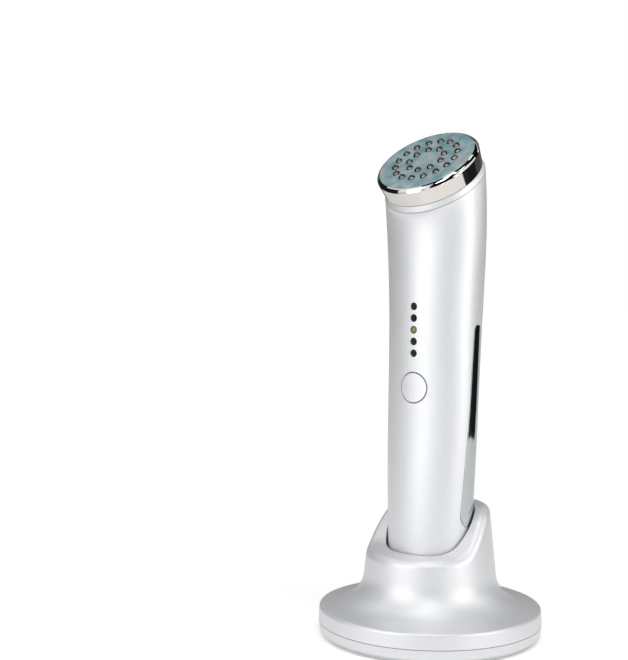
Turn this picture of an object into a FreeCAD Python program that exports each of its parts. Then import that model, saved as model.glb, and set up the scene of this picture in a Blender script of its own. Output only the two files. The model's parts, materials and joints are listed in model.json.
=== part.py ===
import FreeCAD
import Part
import Sketcher

import math
import os
import re

# Infrared facial device: an oval handset with a tilted LED head, parked in its charging stand.
# Millimetres, +Z up, origin on the floor under the middle of the stand, handset front towards -Y.

# Driving sizes; "set_back" is a distance towards the back (+Y).
SIZES = {
    # Oval cross sections of the handle: height above the section below (the foot's above the
    # floor), half depth, how much wider each half is, and its centre.
    "foot_height": 19.3,
    "foot_half_depth": 14.7,
    "foot_widening": 3.2,
    "foot_set_back": 0.4,
    "grip_height": 43.0,
    "grip_half_depth": 14.95,
    "grip_widening": 4.15,
    "grip_set_back": 0.0,
    "thumb_height": 42.2,
    "thumb_half_depth": 15.2,
    "thumb_widening": 5.07,
    "thumb_set_back": 1.84,
    "lamp_height": 23.7,
    "lamp_half_depth": 16.2,
    "lamp_widening": 4.25,
    "lamp_set_back": 2.9,
    "neck_height": 33.8,
    "neck_half_depth": 16.6,
    "neck_widening": 5.2,
    "neck_set_back": 3.4,
    "shell_wall": 2.0,
    # Chrome trims on the parting line, narrower at the top; their bottom is above the foot.
    "trim_bottom": 28.0,
    "trim_length": 83.0,
    "trim_half_width": 5.0,
    "trim_top_half_width": 2.2,
    "trim_lean": 2.1,
    "trim_proud": 0.3,
    "trim_recess": 1.2,
    # End cap with its charging pads; the seat is above the floor.
    "seat_height": 15.3,
    "cap_draft": 0.3,
    "cap_edge_round": 2.5,
    "spigot_height": 5.0,
    "spigot_wall": 1.3,
    "spigot_gap": 0.25,
    "cap_screw_offset": 9.6,
    "cap_screw_length": 16.0,
    "cap_boss_radius": 2.6,
    "cap_boss_height": 12.0,
    "contact_offset": 6.0,
    "contact_radius": 2.4,
    "contact_recess": 0.3,
    "contact_thickness": 1.4,
    "contact_shank_radius": 1.2,
    "contact_shank_rise": 2.2,
    # Head, in its own tilted frame: the plate's outer face is level zero, depths go inwards.
    # The plate's height is above the neck section.
    "plate_height": 35.94,
    "plate_forward": 4.73,
    "head_tilt": 37.25,
    "plate_radius": 20.6,
    "plate_thickness": 1.6,
    "plate_edge_width": 1.2,
    "plate_edge_drop": 0.37,
    "plate_edge_round": 4.0,
    "bezel_lip": 0.05,
    "bezel_lip_width": 0.1,
    "bezel_shoulder_radius": 21.55,
    "bezel_shoulder_depth": 0.85,
    "bezel_shoulder_round": 2.4,
    "crease_radius": 22.1,
    "crease_depth": 1.85,
    "crease_width": 0.2,
    "crease_cut": 0.12,
    "bezel_radius": 21.2,
    "bezel_depth": 8.6,
    "collar_radius": 21.9,
    "collar_depth": 11.3,
    "collar_drop": 0.35,
    "collar_bore": 15.2,
    "seam_gap": 0.25,
    "sleeve_radius": 18.95,
    "collar_spigot_radius": 17.4,
    "collar_spigot_height": 1.6,
    "neck_screw_across": 10.2,
    "neck_screw_forward": 13.8,
    "neck_screw_length": 11.0,
    "neck_boss_radius": 2.3,
    "neck_boss_height": 7.0,
    # Treatment LEDs and their board.
    "outer_ring_radius": 13.54,
    "inner_ring_radius": 7.72,
    "led_radius": 1.5,
    "led_straight": 3.8,
    "led_flange_radius": 1.9,
    "led_flange_height": 1.0,
    "led_proud": 1.3,
    "led_board_radius": 18.6,
    "led_board_screw_ring": 17.1,
    "led_board_screw_length": 4.5,
    # Button and switch, measured inwards from the front face at the thumb.
    "button_radius": 6.0,
    "button_gap": 0.5,
    "button_proud": 0.2,
    "button_flange_radius": 7.0,
    "button_flange_depth": 3.15,
    "button_flange_thickness": 0.8,
    "stem_radius": 1.5,
    "plunger_depth": 4.25,
    "plunger_radius": 1.7,
    "plunger_length": 2.3,
    "switch_half_width": 3.0,
    "switch_height": 3.5,
    "switch_well": 2.2,
    # Indicator LEDs in a row above the button.
    "lamp_pitch": 4.79,
    "lamp_radius": 1.5,
    "lamp_proud": 0.25,
    "lamp_straight": 3.4,
    "lamp_flange_radius": 1.9,
    "lamp_flange_height": 1.0,
    "holder_half_width": 2.2,
    # Main board, chips, cell and leads: the board's bottom is above the foot and its top above
    # the middle indicator, the cell's bottom is above the board's.
    "board_depth": 8.8,
    "board_thickness": 1.6,
    "board_half_width": 10.0,
    "board_bottom": 24.7,
    "board_top": 21.8,
    "board_screw_across": 7.5,
    "board_screw_inset": 6.0,
    "board_screw_length": 6.0,
    "board_boss_radius": 2.2,
    "chip_height": 1.7,
    "controller_half_width": 5.0,
    "controller_length": 7.0,
    "controller_rise": 17.7,
    "charger_half_width": 2.5,
    "charger_length": 4.0,
    "charger_rise": 8.0,
    "driver_half_width": 3.0,
    "driver_length": 5.0,
    "driver_rise": 13.8,
    "cell_radius": 7.1,
    "cell_length": 50.0,
    "cell_bottom": 16.0,
    "pad_thickness": 1.1,
    "pad_half_width": 4.0,
    "pad_inset": 16.0,
    "rib_thickness": 2.0,
    "rib_inset": 8.0,
    "connector_half_width": 4.0,
    "connector_depth": 3.2,
    "connector_height": 8.0,
    "head_lead_radius": 1.1,
    "head_lead_drop": 9.0,
    "head_lead_rise": 20.0,
    "cell_lead_rise": 5.0,
    "contact_lead_rise": 12.0,
    "thin_lead_radius": 0.6,
    # Screws and general clearances.
    "small_screw_radius": 0.8,
    "small_head_radius": 1.5,
    "small_head_height": 1.0,
    "small_cross_reach": 0.9,
    "small_cross_depth": 0.55,
    "main_screw_radius": 1.1,
    "main_head_radius": 2.1,
    "main_head_height": 1.4,
    "main_cross_reach": 1.3,
    "main_cross_depth": 0.75,
    "cross_width": 0.5,
    "screw_gap": 0.05,
    "fit_gap": 0.1,
    # Stand shell: rim, sloping disc, flared neck and swooping collar.
    "seam_height": 6.3,
    "rim_radius": 46.5,
    "rim_draft": 0.25,
    "rim_height": 12.5,
    "rim_round": 1.2,
    "flare_foot_radius": 28.65,
    "flare_foot_height": 14.8,
    "flare_radius": 14.0,
    "collar_top_radius": 24.3,
    "swoop_front_height": 36.3,
    "swoop_back_height": 55.1,
    "swoop_foot_forward": 10.46,
    "swoop_slope": 47.4,
    "swoop_hollow_radius": 13.0,
    "swoop_crest_radius": 16.0,
    "lip_round": 3.6,
    "lip_thickness": 3.0,
    "stand_skin": 2.2,
    "socket_gap": 1.0,
    "socket_wall": 1.8,
    "socket_floor": 2.0,
    # Stand base, feet and screws, whose rings lie inside the rim by these distances.
    "foot_proud": 0.8,
    "pad_foot_radius": 5.0,
    "pad_foot_sink": 0.8,
    "pad_foot_ring": 12.5,
    "base_floor": 2.2,
    "base_edge_cut": 1.6,
    "base_draft": 0.5,
    "base_lip_height": 1.7,
    "base_lip_wall": 1.5,
    "base_screw_ring": 10.5,
    "base_screw_length": 7.0,
    "base_boss_radius": 3.0,
    # Charging board, inlet and contact pins; the inlet's face lies inside the rim.
    "charge_board_height": 8.2,
    "charge_board_half_width": 9.0,
    "charge_board_front": 14.0,
    "charge_screw_offset": 10.5,
    "charge_screw_length": 4.2,
    "charge_boss_radius": 2.2,
    "jack_height": 3.85,
    "jack_face": 4.3,
    "jack_length": 9.0,
    "jack_half_width": 3.2,
    "jack_half_height": 2.2,
    "jack_bore": 1.8,
    "jack_bore_depth": 8.0,
    "jack_pin_radius": 0.65,
    "jack_pin_length": 6.5,
    "inlet_gap": 0.15,
    "barrel_radius": 1.2,
    "barrel_sink": 0.4,
    "barrel_base": 0.6,
    "pin_radius": 0.8,
    "pin_tip_radius": 0.5,
    "pin_gap": 0.08,
    "pin_crimp": 0.6,
    "pin_body_length": 1.6,
    "pin_reach": 0.25,
    "pin_rise": 0.7,
    "spring_wall": 0.2,
}

# Rings of like pieces: how many, and the angle of the first, in degrees from +X.
OUTER_LED_COUNT = 16
OUTER_LED_ANGLE = 0
INNER_LED_COUNT = 9
INNER_LED_ANGLE = -90
LED_BOARD_SCREW_COUNT = 3
LED_BOARD_SCREW_ANGLE = 90
BASE_SCREW_COUNT = 4
BASE_SCREW_ANGLE = 45
FOOT_COUNT = 4
FOOT_ANGLE = 0
LAMP_STEPS = (-2, -1, 0, 1, 2)
SECTIONS = ("foot", "grip", "thumb", "lamp", "neck")
LAMP_NODES = {"indicator_green": (-2, -1, 2), "indicator_yellow": (0,), "indicator_red": (1,)}

# Places that several pieces share, as formulas of the sizes.
LEVELS = {"foot": "foot_height"}
for lower, section in zip(SECTIONS, SECTIONS[1:]):
    LEVELS[section] = f"({LEVELS[lower]} + {section}_height)"
THUMB_LEVEL = LEVELS["thumb"]
LAMP_LEVEL = LEVELS["lamp"]
PLATE_LEVEL = f"({LEVELS['neck']} + plate_height)"
FRONT = "(thumb_set_back - thumb_half_depth)"
LAMP_FRONT = "(lamp_set_back - lamp_half_depth)"
BOARD_FRONT = f"({FRONT} + board_depth)"
BOARD_BACK = f"({BOARD_FRONT} + board_thickness)"
CELL_AXIS = f"({BOARD_BACK} + pad_thickness + cell_radius)"
BOARD_BOTTOM = "(foot_height + board_bottom)"
BOARD_TOP = f"({LAMP_LEVEL} + board_top)"
CELL_BOTTOM = f"({BOARD_BOTTOM} + cell_bottom)"
CELL_TOP = f"({CELL_BOTTOM} + cell_length)"
BOARD_SCREW_LEVELS = (f"({BOARD_BOTTOM} + board_screw_inset)", f"({BOARD_TOP} - board_screw_inset)")
# Each chip's rise is measured from one of these levels.
CHIP_LEVELS = {"controller": LEVELS["grip"], "charger": BOARD_BOTTOM, "driver": LAMP_LEVEL}
LED_BOARD_TOP = "(led_proud - led_radius - led_straight)"
LED_BOARD_BOTTOM = f"({LED_BOARD_TOP} - board_thickness)"
CROWN_Y = "(collar_depth * sin(head_tilt) - collar_drop * cos(head_tilt) - plate_forward)"
CROWN_Z = f"({PLATE_LEVEL} - collar_depth * cos(head_tilt) - collar_drop * sin(head_tilt))"
CAP_BOSS_FOOT = "(foot_height + spigot_height + fit_gap)"
NECK_BOSS_TOP = "(-collar_depth - collar_spigot_height - fit_gap)"
SOCKET_UNDERSIDE = "(seat_height - socket_floor)"
CHARGE_BOARD_TOP = "(charge_board_height + board_thickness)"
BASE_FLOOR_TOP = "(foot_proud + base_floor)"
FOOT_TOP = "(foot_proud + pad_foot_sink)"
JACK_FACE = "(rim_radius - jack_face)"
# The flare's round never takes up more than the disc between the neck and the rim.
FLARE = "min(flare_radius; rim_radius - flare_foot_radius - 2 * rim_round)"
BARREL_TOP = "(seat_height - barrel_sink)"
CAP_SCREW_SEAT = "(seat_height + contact_recess + main_head_height)"
NECK_SCREW_SEAT = f"({LED_BOARD_BOTTOM} - small_head_height - screw_gap)"
BASE_SCREW_SEAT = "(foot_proud + screw_gap + main_head_height)"

# Tools reach this far past what they cut, and ends are overrun by this much.
REACH = "30"
OVERRUN = "1"
# Closed sections start and end at the back of the handle, away from its parting lines.
SEAM_ANGLE = 130
# Cubic lofts pass smoothly through their sections without swinging past them.
CURVE_DEGREE = 3
# A wire's bend takes up this share of its shorter run.
BEND_SHARE = 0.45
# Distances below which an edge counts as touching a spot, or as lying on the neck.
TOUCH = 1e-6
LIP_BAND = 0.02
# Points taken along an edge to see where it lies.
EDGE_SAMPLES = 5


def ring_places(radius, count, first, z="0"):
    """Places spread evenly round a ring, as formulas."""
    angles = [first + 360 / count * step for step in range(count)]
    return [(f"{radius} * cos({angle})", f"{radius} * sin({angle})", z) for angle in angles]


# Places of what repeats, as (x, y, z) formulas; a screw's place is under its head.
BOTH_SIDES = (-1, 1)
PAD_FACE = "seat_height + contact_recess"
CONTACT_PLACES = [(f"{side} * contact_offset", "0", PAD_FACE) for side in BOTH_SIDES]
CAP_SCREW_PLACES = [("0", f"{side} * cap_screw_offset", CAP_SCREW_SEAT) for side in BOTH_SIDES]
BOARD_SCREW_PLACES = [
    (f"{side} * board_screw_across", BOARD_BACK, level)
    for side in BOTH_SIDES
    for level in BOARD_SCREW_LEVELS
]
LED_BOARD_SCREW_PLACES = ring_places(
    "led_board_screw_ring", LED_BOARD_SCREW_COUNT, LED_BOARD_SCREW_ANGLE, LED_BOARD_TOP
)
NECK_SCREW_PLACES = [
    (f"{side} * neck_screw_across", "-neck_screw_forward", NECK_SCREW_SEAT) for side in BOTH_SIDES
]
BASE_SCREW_PLACES = ring_places(
    "(rim_radius - base_screw_ring)", BASE_SCREW_COUNT, BASE_SCREW_ANGLE, BASE_SCREW_SEAT
)
FOOT_PLACES = ring_places("(rim_radius - pad_foot_ring)", FOOT_COUNT, FOOT_ANGLE)
CHARGE_SCREW_PLACES = [("0", f"{side} * charge_screw_offset", "charge_board_height") for side in BOTH_SIDES]
PIN_PLACES = {"left": CONTACT_PLACES[0], "right": CONTACT_PLACES[1]}
# Lines that pieces of the button and of the inlet share.
AT_THUMB = {"z": THUMB_LEVEL, "along": "+y"}
AT_JACK = {"z": "jack_height", "along": "+y"}

VECTOR = FreeCAD.Vector
X_AXIS = VECTOR(1, 0, 0)
ALONG = {
    "+z": FreeCAD.Rotation(),
    "-z": FreeCAD.Rotation(X_AXIS, 180),
    "+y": FreeCAD.Rotation(X_AXIS, -90),
    "-y": FreeCAD.Rotation(X_AXIS, 90),
    "+x": FreeCAD.Rotation(VECTOR(0, 1, 0), 90),
}

doc = FreeCAD.newDocument("FacialDevice")
sheet = doc.addObject("Spreadsheet::Sheet", "Sizes")
for row, (alias, size) in enumerate(SIZES.items(), start=1):
    sheet.set(f"A{row}", alias)
    sheet.set(f"B{row}", str(size))
    sheet.setAlias(f"B{row}", alias)
doc.recompute()


# Helpers: formulas, primitives, booleans and copies.


def cells(formula):
    """Point every size named in a formula at its cell of the sheet."""
    return re.sub(r"[a-z_]+", lambda m: f"Sizes.{m[0]}" if m[0] in SIZES else m[0], str(formula))


def value(formula):
    return float(sheet.evalExpression(cells(formula)))


def bind(item, **formulas):
    for name, formula in formulas.items():
        item.setExpression(name, cells(formula))


def place(item, x="0", y="0", z="0", along="+z"):
    item.Placement = FreeCAD.Placement(VECTOR(), ALONG[along])
    for axis, formula in zip("xyz", (x, y, z)):
        item.setExpression(f"Placement.Base.{axis}", cells(formula))
    return item


def tilt(item, angle, axis=X_AXIS):
    """Turn a placed item about an axis by an angle from the sheet."""
    item.Placement = FreeCAD.Placement(item.Placement.Base, FreeCAD.Rotation(axis, 1))
    item.setExpression("Placement.Rotation.Angle", cells(angle))
    return item


def on_head(item):
    """Carry a piece modelled in the head's frame to the head."""
    place(item, y="-plate_forward", z=PLATE_LEVEL)
    return tilt(item, "head_tilt")


def cylinder(name, radius, start, end, x="0", y="0", z="0", along="+z"):
    """A cylinder between two levels of the axis that it runs along."""
    item = doc.addObject("Part::Cylinder", name)
    bind(item, Radius=radius, Height=f"({end}) - ({start})")
    base = {"x": x, "y": y, "z": z}
    base[along[1]] = start
    return place(item, **base, along=along)


def box(name, x, y, z):
    """A box between two levels along each axis."""
    item = doc.addObject("Part::Box", name)
    sides = zip(("Length", "Width", "Height"), (x, y, z))
    bind(item, **{side: f"({high}) - ({low})" for side, (low, high) in sides})
    return place(item, x[0], y[0], z[0])


def tapered_block(name, x, z, half_widths):
    """A block across a range of X whose half width changes between two heights."""
    item = doc.addObject("Part::Wedge", name)
    low, high = half_widths
    bind(item, Xmin=x[0], Xmax=x[1], X2min=x[0], X2max=x[1], Ymin=z[0], Ymax=z[1])
    bind(item, Zmin=f"-({low})", Zmax=low, Z2min=f"-({high})", Z2max=high)
    return place(item, along="-y")


def sphere(name, radius, z):
    item = doc.addObject("Part::Sphere", name)
    bind(item, Radius=radius)
    return place(item, z=z)


def fuse(name, *items):
    result = doc.addObject("Part::MultiFuse", name)
    result.Shapes = list(items)
    result.Refine = True
    return result


def together(name, *items):
    result = doc.addObject("Part::Compound", name)
    result.Links = list(items)
    return result


def common(name, *items):
    result = doc.addObject("Part::MultiCommon", name)
    result.Shapes = list(items)
    return result


def cut(name, base, *tools):
    """Take each tool away from the base in turn; the last step carries the name."""
    for step, tool in enumerate(tools, start=1):
        last = step == len(tools)
        result = doc.addObject("Part::Cut", name if last else f"{name}_step")
        result.Base = base
        result.Tool = tool
        base = result
    return base


def copies(name, master, places, along="+z"):
    """Repeat a master piece at several places as one group of separate solids."""
    links = []
    for x, y, z in places:
        link = doc.addObject("App::Link", f"{name}_copy")
        link.LinkedObject = master
        link.LinkTransform = True
        links.append(place(link, x, y, z, along))
    return together(name, *links)


def screw(name, kind, length):
    """A pan-head screw along +Z with its head below level zero and a cross recess."""
    head_radius, head_height = f"{kind}_head_radius", f"{kind}_head_height"
    blank = fuse(
        f"{name}_blank",
        cylinder(f"{name}_head", head_radius, f"-{head_height}", "0"),
        cylinder(f"{name}_shank", f"{kind}_screw_radius", "0", length),
    )
    depth = (f"-{head_height}", f"{kind}_cross_depth - {head_height}")
    slim = ("-cross_width / 2", "cross_width / 2")
    wide = (f"-{kind}_cross_reach", f"{kind}_cross_reach")
    arms = [box(f"{name}_arm", x, y, depth) for x, y in ((wide, slim), (slim, wide))]
    return cut(name, blank, fuse(f"{name}_cross", *arms))


def origin_plane(body, role):
    return next(feature for feature in body.Origin.OriginFeatures if feature.Role == role)


def outline(body, name, role, corners):
    """A closed sketch of straight lines, each corner bound to the sheet."""
    sketch = body.newObject("Sketcher::SketchObject", name)
    sketch.AttachmentSupport = [(origin_plane(body, role), "")]
    sketch.MapMode = "FlatFace"
    spots = [VECTOR(value(across), value(up), 0) for across, up in corners]
    count = len(spots)
    for index in range(count):
        sketch.addGeometry(Part.LineSegment(spots[index], spots[(index + 1) % count]), False)
    for index in range(count):
        sketch.addConstraint(Sketcher.Constraint("Coincident", index, 2, (index + 1) % count, 1))
    for index, (across, up) in enumerate(corners):
        spot = spots[index]
        for kind, formula, now in (("DistanceX", across, spot.x), ("DistanceY", up, spot.y)):
            number = sketch.addConstraint(Sketcher.Constraint(kind, -1, 1, index, 1, now))
            sketch.setExpression(f"Constraints[{number}]", cells(formula))
    return sketch


def turned(name, corners):
    """A body turned about Z from an outline of (radius, height) corners."""
    body = doc.addObject("PartDesign::Body", name)
    sketch = outline(body, f"{name}_outline", "XZ_Plane", corners)
    turn = body.newObject("PartDesign::Revolution", f"{name}_turn")
    turn.Profile = sketch
    turn.ReferenceAxis = (sketch, ["V_Axis"])
    turn.Angle = 360
    doc.recompute()
    return body


def round_rim(body, radius_at, level, radius):
    """Round the circular edge of a turned body that lies at a given radius and level."""
    base = body.Tip
    spot = VECTOR(value(radius_at), 0, value(level))
    names = [
        f"Edge{number}"
        for number, edge in enumerate(base.Shape.Edges, start=1)
        if edge.distToShape(Part.Vertex(spot))[0] < TOUCH and edge.BoundBox.ZLength < TOUCH
    ]
    return round_edges(body, names, radius)


def round_edges(body, names, radius):
    base = body.Tip
    fillet = body.newObject("PartDesign::Fillet", f"{body.Name}_round")
    fillet.Base = (base, names)
    bind(fillet, Radius=radius)
    doc.recompute()
    return fillet


def lead(points, radius):
    """A round wire along straight runs joined by tangent arcs."""
    spots = [VECTOR(*(value(formula) for formula in point)) for point in points]
    start, edges = spots[0], []
    for before, corner, after in zip(spots, spots[1:], spots[2:]):
        into, out = corner - before, after - corner
        reach = BEND_SHARE * min(into.Length, out.Length)
        into.normalize()
        out.normalize()
        half_turn = into.getAngle(out) / 2
        bend_radius = reach / math.tan(half_turn)
        to_arc = bend_radius / math.cos(half_turn) - bend_radius
        bend_start, bend_end = corner - into * reach, corner + out * reach
        top = corner + (out - into).normalize() * to_arc
        edges.append(Part.LineSegment(start, bend_start).toShape())
        edges.append(Part.Arc(bend_start, top, bend_end).toShape())
        start = bend_end
    edges.append(Part.LineSegment(start, spots[-1]).toShape())
    section = Part.Wire(Part.Circle(spots[0], spots[1] - spots[0], value(radius)).toShape())
    return Part.Wire(edges).makePipeShell([section], True, False)


def leads(name, radius, *routes):
    """One or more wires as one piece."""
    item = doc.addObject("Part::Feature", name)
    wires = [lead(route, radius) for route in routes]
    item.Shape = wires[0] if len(wires) == 1 else Part.makeCompound(wires)
    return item


# Handle: lofts through the oval sections and the tilted circle under the head collar.


def at_crown(item, x="0", forward="0", rise="0"):
    """Lay a section in the tilted plane where the handle meets the collar."""
    y = f"{CROWN_Y} - {rise} * sin(head_tilt) - {forward} * cos(head_tilt)"
    z = f"{CROWN_Z} + {rise} * cos(head_tilt) - {forward} * sin(head_tilt)"
    return tilt(place(item, x, y, z), "head_tilt")


def loft(name, sections):
    result = doc.addObject("Part::Loft", name)
    result.Sections = sections
    result.Solid = True
    result.MaxDegree = CURVE_DEGREE
    return result


def oval(name, section, offset, level):
    """One oval cross section of the handle, grown or shrunk by an offset, at a level."""
    item = doc.addObject("Part::Ellipse", name)
    depth = f"{section}_half_depth + {offset}"
    bind(item, MajorRadius=f"{depth} + {section}_widening", MinorRadius=depth)
    item.Angle1 = item.Angle2 = SEAM_ANGLE
    return place(item, y=f"{section}_set_back", z=level)


def handle(name, offset, drop="0", rise="0"):
    """The handle's form, grown or shrunk by an offset and run past its foot and its crown."""
    sections = [oval(f"{name}_foot", "foot", offset, f"foot_height - {drop}")]
    sections += [oval(f"{name}_{part}", part, offset, LEVELS[part]) for part in SECTIONS[1:]]
    crown = doc.addObject("Part::Circle", f"{name}_crown")
    bind(crown, Radius=f"collar_radius + {offset}")
    crown.Angle1 = crown.Angle2 = SEAM_ANGLE
    return loft(name, sections + [at_crown(crown, rise=rise)])


def front_half():
    """All that lies in front of the parting surface, which follows the middle of the ovals."""
    sections = []
    for section in SECTIONS:
        drop = OVERRUN if section == "foot" else "0"
        sheet_of = doc.addObject("Part::Plane", f"parting_{section}")
        bind(sheet_of, Length=f"2 * {REACH}", Width=REACH)
        place(sheet_of, f"-{REACH}", f"{section}_set_back - {REACH}", f"{LEVELS[section]} - {drop}")
        sections.append(sheet_of)
    crown = doc.addObject("Part::Plane", "parting_crown")
    bind(crown, Length=f"2 * {REACH}", Width=REACH)
    return loft("front_half", sections + [at_crown(crown, f"-{REACH}", REACH, OVERRUN)])


HANDLE = handle("handle_outside", "0")
INSIDE = handle("handle_inside", "(-shell_wall)", OVERRUN, OVERRUN)
FRONT_HALF = front_half()
TRIM_FLOOR = handle("trim_floor", "(-trim_recess)")


# Side trims and the shells that they are set into.


def trim_slot(name, x, gap):
    """A round-ended slot along the parting line, across a range of X."""
    levels = ("trim_half_width", "(trim_length - trim_top_half_width)")
    halves = (f"trim_half_width + {gap}", f"trim_top_half_width + {gap}")
    parts = [tapered_block(f"{name}_run", x, levels, halves)]
    for level, half in zip(levels, halves):
        parts.append(cylinder(f"{name}_end", half, x[0], x[1], z=level, along="+x"))
    slot = place(fuse(name, *parts), y="grip_set_back", z="foot_height + trim_bottom")
    return tilt(slot, "trim_lean", VECTOR(-1, 0, 0))


SIDES = {"left": (f"-{REACH}", "0"), "right": ("0", REACH)}
RECESS_SLOT = trim_slot("recess_slot", (f"-{REACH}", REACH), "fit_gap")
OUTSIDE = cut("handle_recessed", HANDLE, cut("trim_recesses", RECESS_SLOT, TRIM_FLOOR))


def side_trims():
    back = handle("trim_back", "(fit_gap - trim_recess)")
    skin = cut("trim_skin", handle("trim_face", "trim_proud"), back)
    return [
        common(f"side_trim_{side}", skin, trim_slot(f"{side}_slot", reach, "0"))
        for side, reach in SIDES.items()
    ]


def cap_boss(side):
    """A screw post for the end cap with a web out to the shell wall; side is -1 front, 1 back."""
    levels = (CAP_BOSS_FOOT, f"{CAP_BOSS_FOOT} + cap_boss_height")
    centre = f"({side} * cap_screw_offset)"
    outward = sorted((centre, f"({side} * {REACH})"), key=value)
    post = cylinder("cap_boss_post", "cap_boss_radius", *levels, y=centre)
    web = box("cap_boss_web", ("-cap_boss_radius / 2", "cap_boss_radius / 2"), outward, levels)
    return fuse("cap_boss", post, web)


def cap_pilot(side):
    top = f"{CAP_SCREW_SEAT} + cap_screw_length + fit_gap"
    centre = f"{side} * cap_screw_offset"
    return cylinder("cap_pilot", "main_screw_radius + screw_gap", CAP_BOSS_FOOT, top, y=centre)


def neck_boss(side):
    """A screw post under the collar with a web out to the front wall."""
    levels = (f"{NECK_BOSS_TOP} - neck_boss_height", NECK_BOSS_TOP)
    centre = f"{side} * neck_screw_across"
    post = cylinder("neck_boss_post", "neck_boss_radius", *levels, x=centre, y="-neck_screw_forward")
    width = (f"{centre} - neck_boss_radius / 2", f"{centre} + neck_boss_radius / 2")
    web = box("neck_boss_web", width, (f"-{REACH}", "-neck_screw_forward"), levels)
    return on_head(fuse("neck_boss", post, web))


def neck_pilot(side):
    bottom = f"{NECK_SCREW_SEAT} - neck_screw_length - fit_gap"
    hole = cylinder(
        "neck_pilot", "small_screw_radius + screw_gap", bottom, f"{NECK_BOSS_TOP} + {OVERRUN}",
        x=f"{side} * neck_screw_across", y="-neck_screw_forward",
    )
    return on_head(together("neck_pilot_on_head", hole))


def lamp_level(step):
    """Height of one indicator, in steps above the middle one."""
    return f"({LAMP_LEVEL} + ({step}) * lamp_pitch)"


def front_shell():
    posts = [cap_boss(-1), neck_boss(-1), neck_boss(1)]
    holes = [cap_pilot(-1), neck_pilot(-1), neck_pilot(1)]
    tip = f"{BOARD_BACK} - board_screw_length - fit_gap"
    for x, _, level in BOARD_SCREW_PLACES:
        at = {"x": x, "z": level, "along": "+y"}
        posts.append(cylinder("board_post", "board_boss_radius", f"{FRONT} - {REACH}", BOARD_FRONT, **at))
        holes.append(cylinder("board_pilot", "small_screw_radius + screw_gap", tip, BOARD_FRONT, **at))
    deep = f"{FRONT} + shell_wall + thumb_widening"
    ahead = f"{FRONT} - {OVERRUN}"
    holes.append(cylinder("button_hole", "button_radius + button_gap", ahead, deep, **AT_THUMB))
    deep = f"{LAMP_FRONT} + shell_wall + lamp_widening"
    ahead = f"{LAMP_FRONT} - {OVERRUN}"
    for step in LAMP_STEPS:
        at = {"z": lamp_level(step), "along": "+y"}
        holes.append(cylinder("lamp_hole", "lamp_radius + fit_gap", ahead, deep, **at))
    cavity = cut("front_cavity", INSIDE, together("front_posts", *posts))
    blank = common("front_blank", OUTSIDE, FRONT_HALF)
    return cut("front_shell", blank, cavity, together("front_holes", *holes))


def rear_shell():
    ribs = []
    across, deep = (f"-{REACH}", REACH), (f"{CELL_AXIS} - {OVERRUN}", REACH)
    for level in (f"{CELL_BOTTOM} + rib_inset", f"{CELL_TOP} - rib_inset - rib_thickness"):
        ribs.append(box("cell_rib", across, deep, (level, f"{level} + rib_thickness")))
    notch = cylinder("cell_notch", "cell_radius + fit_gap", CELL_BOTTOM, CELL_TOP, y=CELL_AXIS)
    notched = cut("cell_ribs", together("cell_rib_plates", *ribs), notch)
    cavity = cut("rear_cavity", INSIDE, notched, cap_boss(1))
    return cut("rear_shell", OUTSIDE, FRONT_HALF, cavity, cap_pilot(1))


# End cap, its charging pads and screws.


def end_cap():
    floor = loft("cap_floor", [
        oval("cap_bottom", "foot", "(-cap_draft)", "seat_height"),
        oval("cap_top", "foot", "0", "foot_height"),
    ])
    doc.recompute()
    lowest = min(range(len(floor.Shape.Edges)), key=lambda n: floor.Shape.Edges[n].BoundBox.ZMax)
    rounded = doc.addObject("Part::Fillet", "cap_rounded")
    rounded.Base = floor
    rounded.Edges = [(lowest + 1, value("cap_edge_round"), value("cap_edge_round"))]
    rim_core = cap_ring("spigot_in", "(spigot_gap + spigot_wall)")
    rim = cut("cap_spigot", cap_ring("spigot_out", "spigot_gap"), rim_core)
    holes = []
    below, above = f"seat_height - {OVERRUN}", f"foot_height + {OVERRUN}"
    for x, y, z in CONTACT_PLACES:
        top = f"{z} + contact_thickness"
        holes.append(cylinder("contact_seat", "contact_radius + fit_gap", below, top, x, y))
        holes.append(cylinder("contact_hole", "contact_shank_radius + screw_gap", z, above, x, y))
    for x, y, z in CAP_SCREW_PLACES:
        holes.append(cylinder("cap_head_seat", "main_head_radius + fit_gap", below, z, x, y))
        holes.append(cylinder("cap_hole", "main_screw_radius + screw_gap", below, above, x, y))
    return cut("end_cap", fuse("cap_blank", rounded, rim), fuse("cap_holes", *holes))


def cap_ring(name, inset):
    """An oval block as high as the cap's spigot, inside the shell wall by an inset."""
    section = oval(f"{name}_oval", "foot", f"(-shell_wall - {inset})", "foot_height")
    block = doc.addObject("Part::Extrusion", name)
    block.Base = section
    block.DirMode = "Custom"
    block.Dir = VECTOR(0, 0, 1)
    block.Solid = True
    bind(block, LengthFwd="spigot_height")
    return block


def charge_pads():
    disc = cylinder("pad_disc", "contact_radius", "0", "contact_thickness")
    rise = "foot_height + contact_shank_rise - seat_height - contact_recess"
    shank = cylinder("pad_shank", "contact_shank_radius", "0", rise)
    return copies("charge_pads", fuse("pad_master", disc, shank), CONTACT_PLACES)


def end_cap_screws():
    return copies("end_cap_screws", screw("cap_screw", "main", "cap_screw_length"), CAP_SCREW_PLACES)


# Head: collar, chrome bezel, face plate, LEDs and their board, all in the tilted frame.


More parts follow.
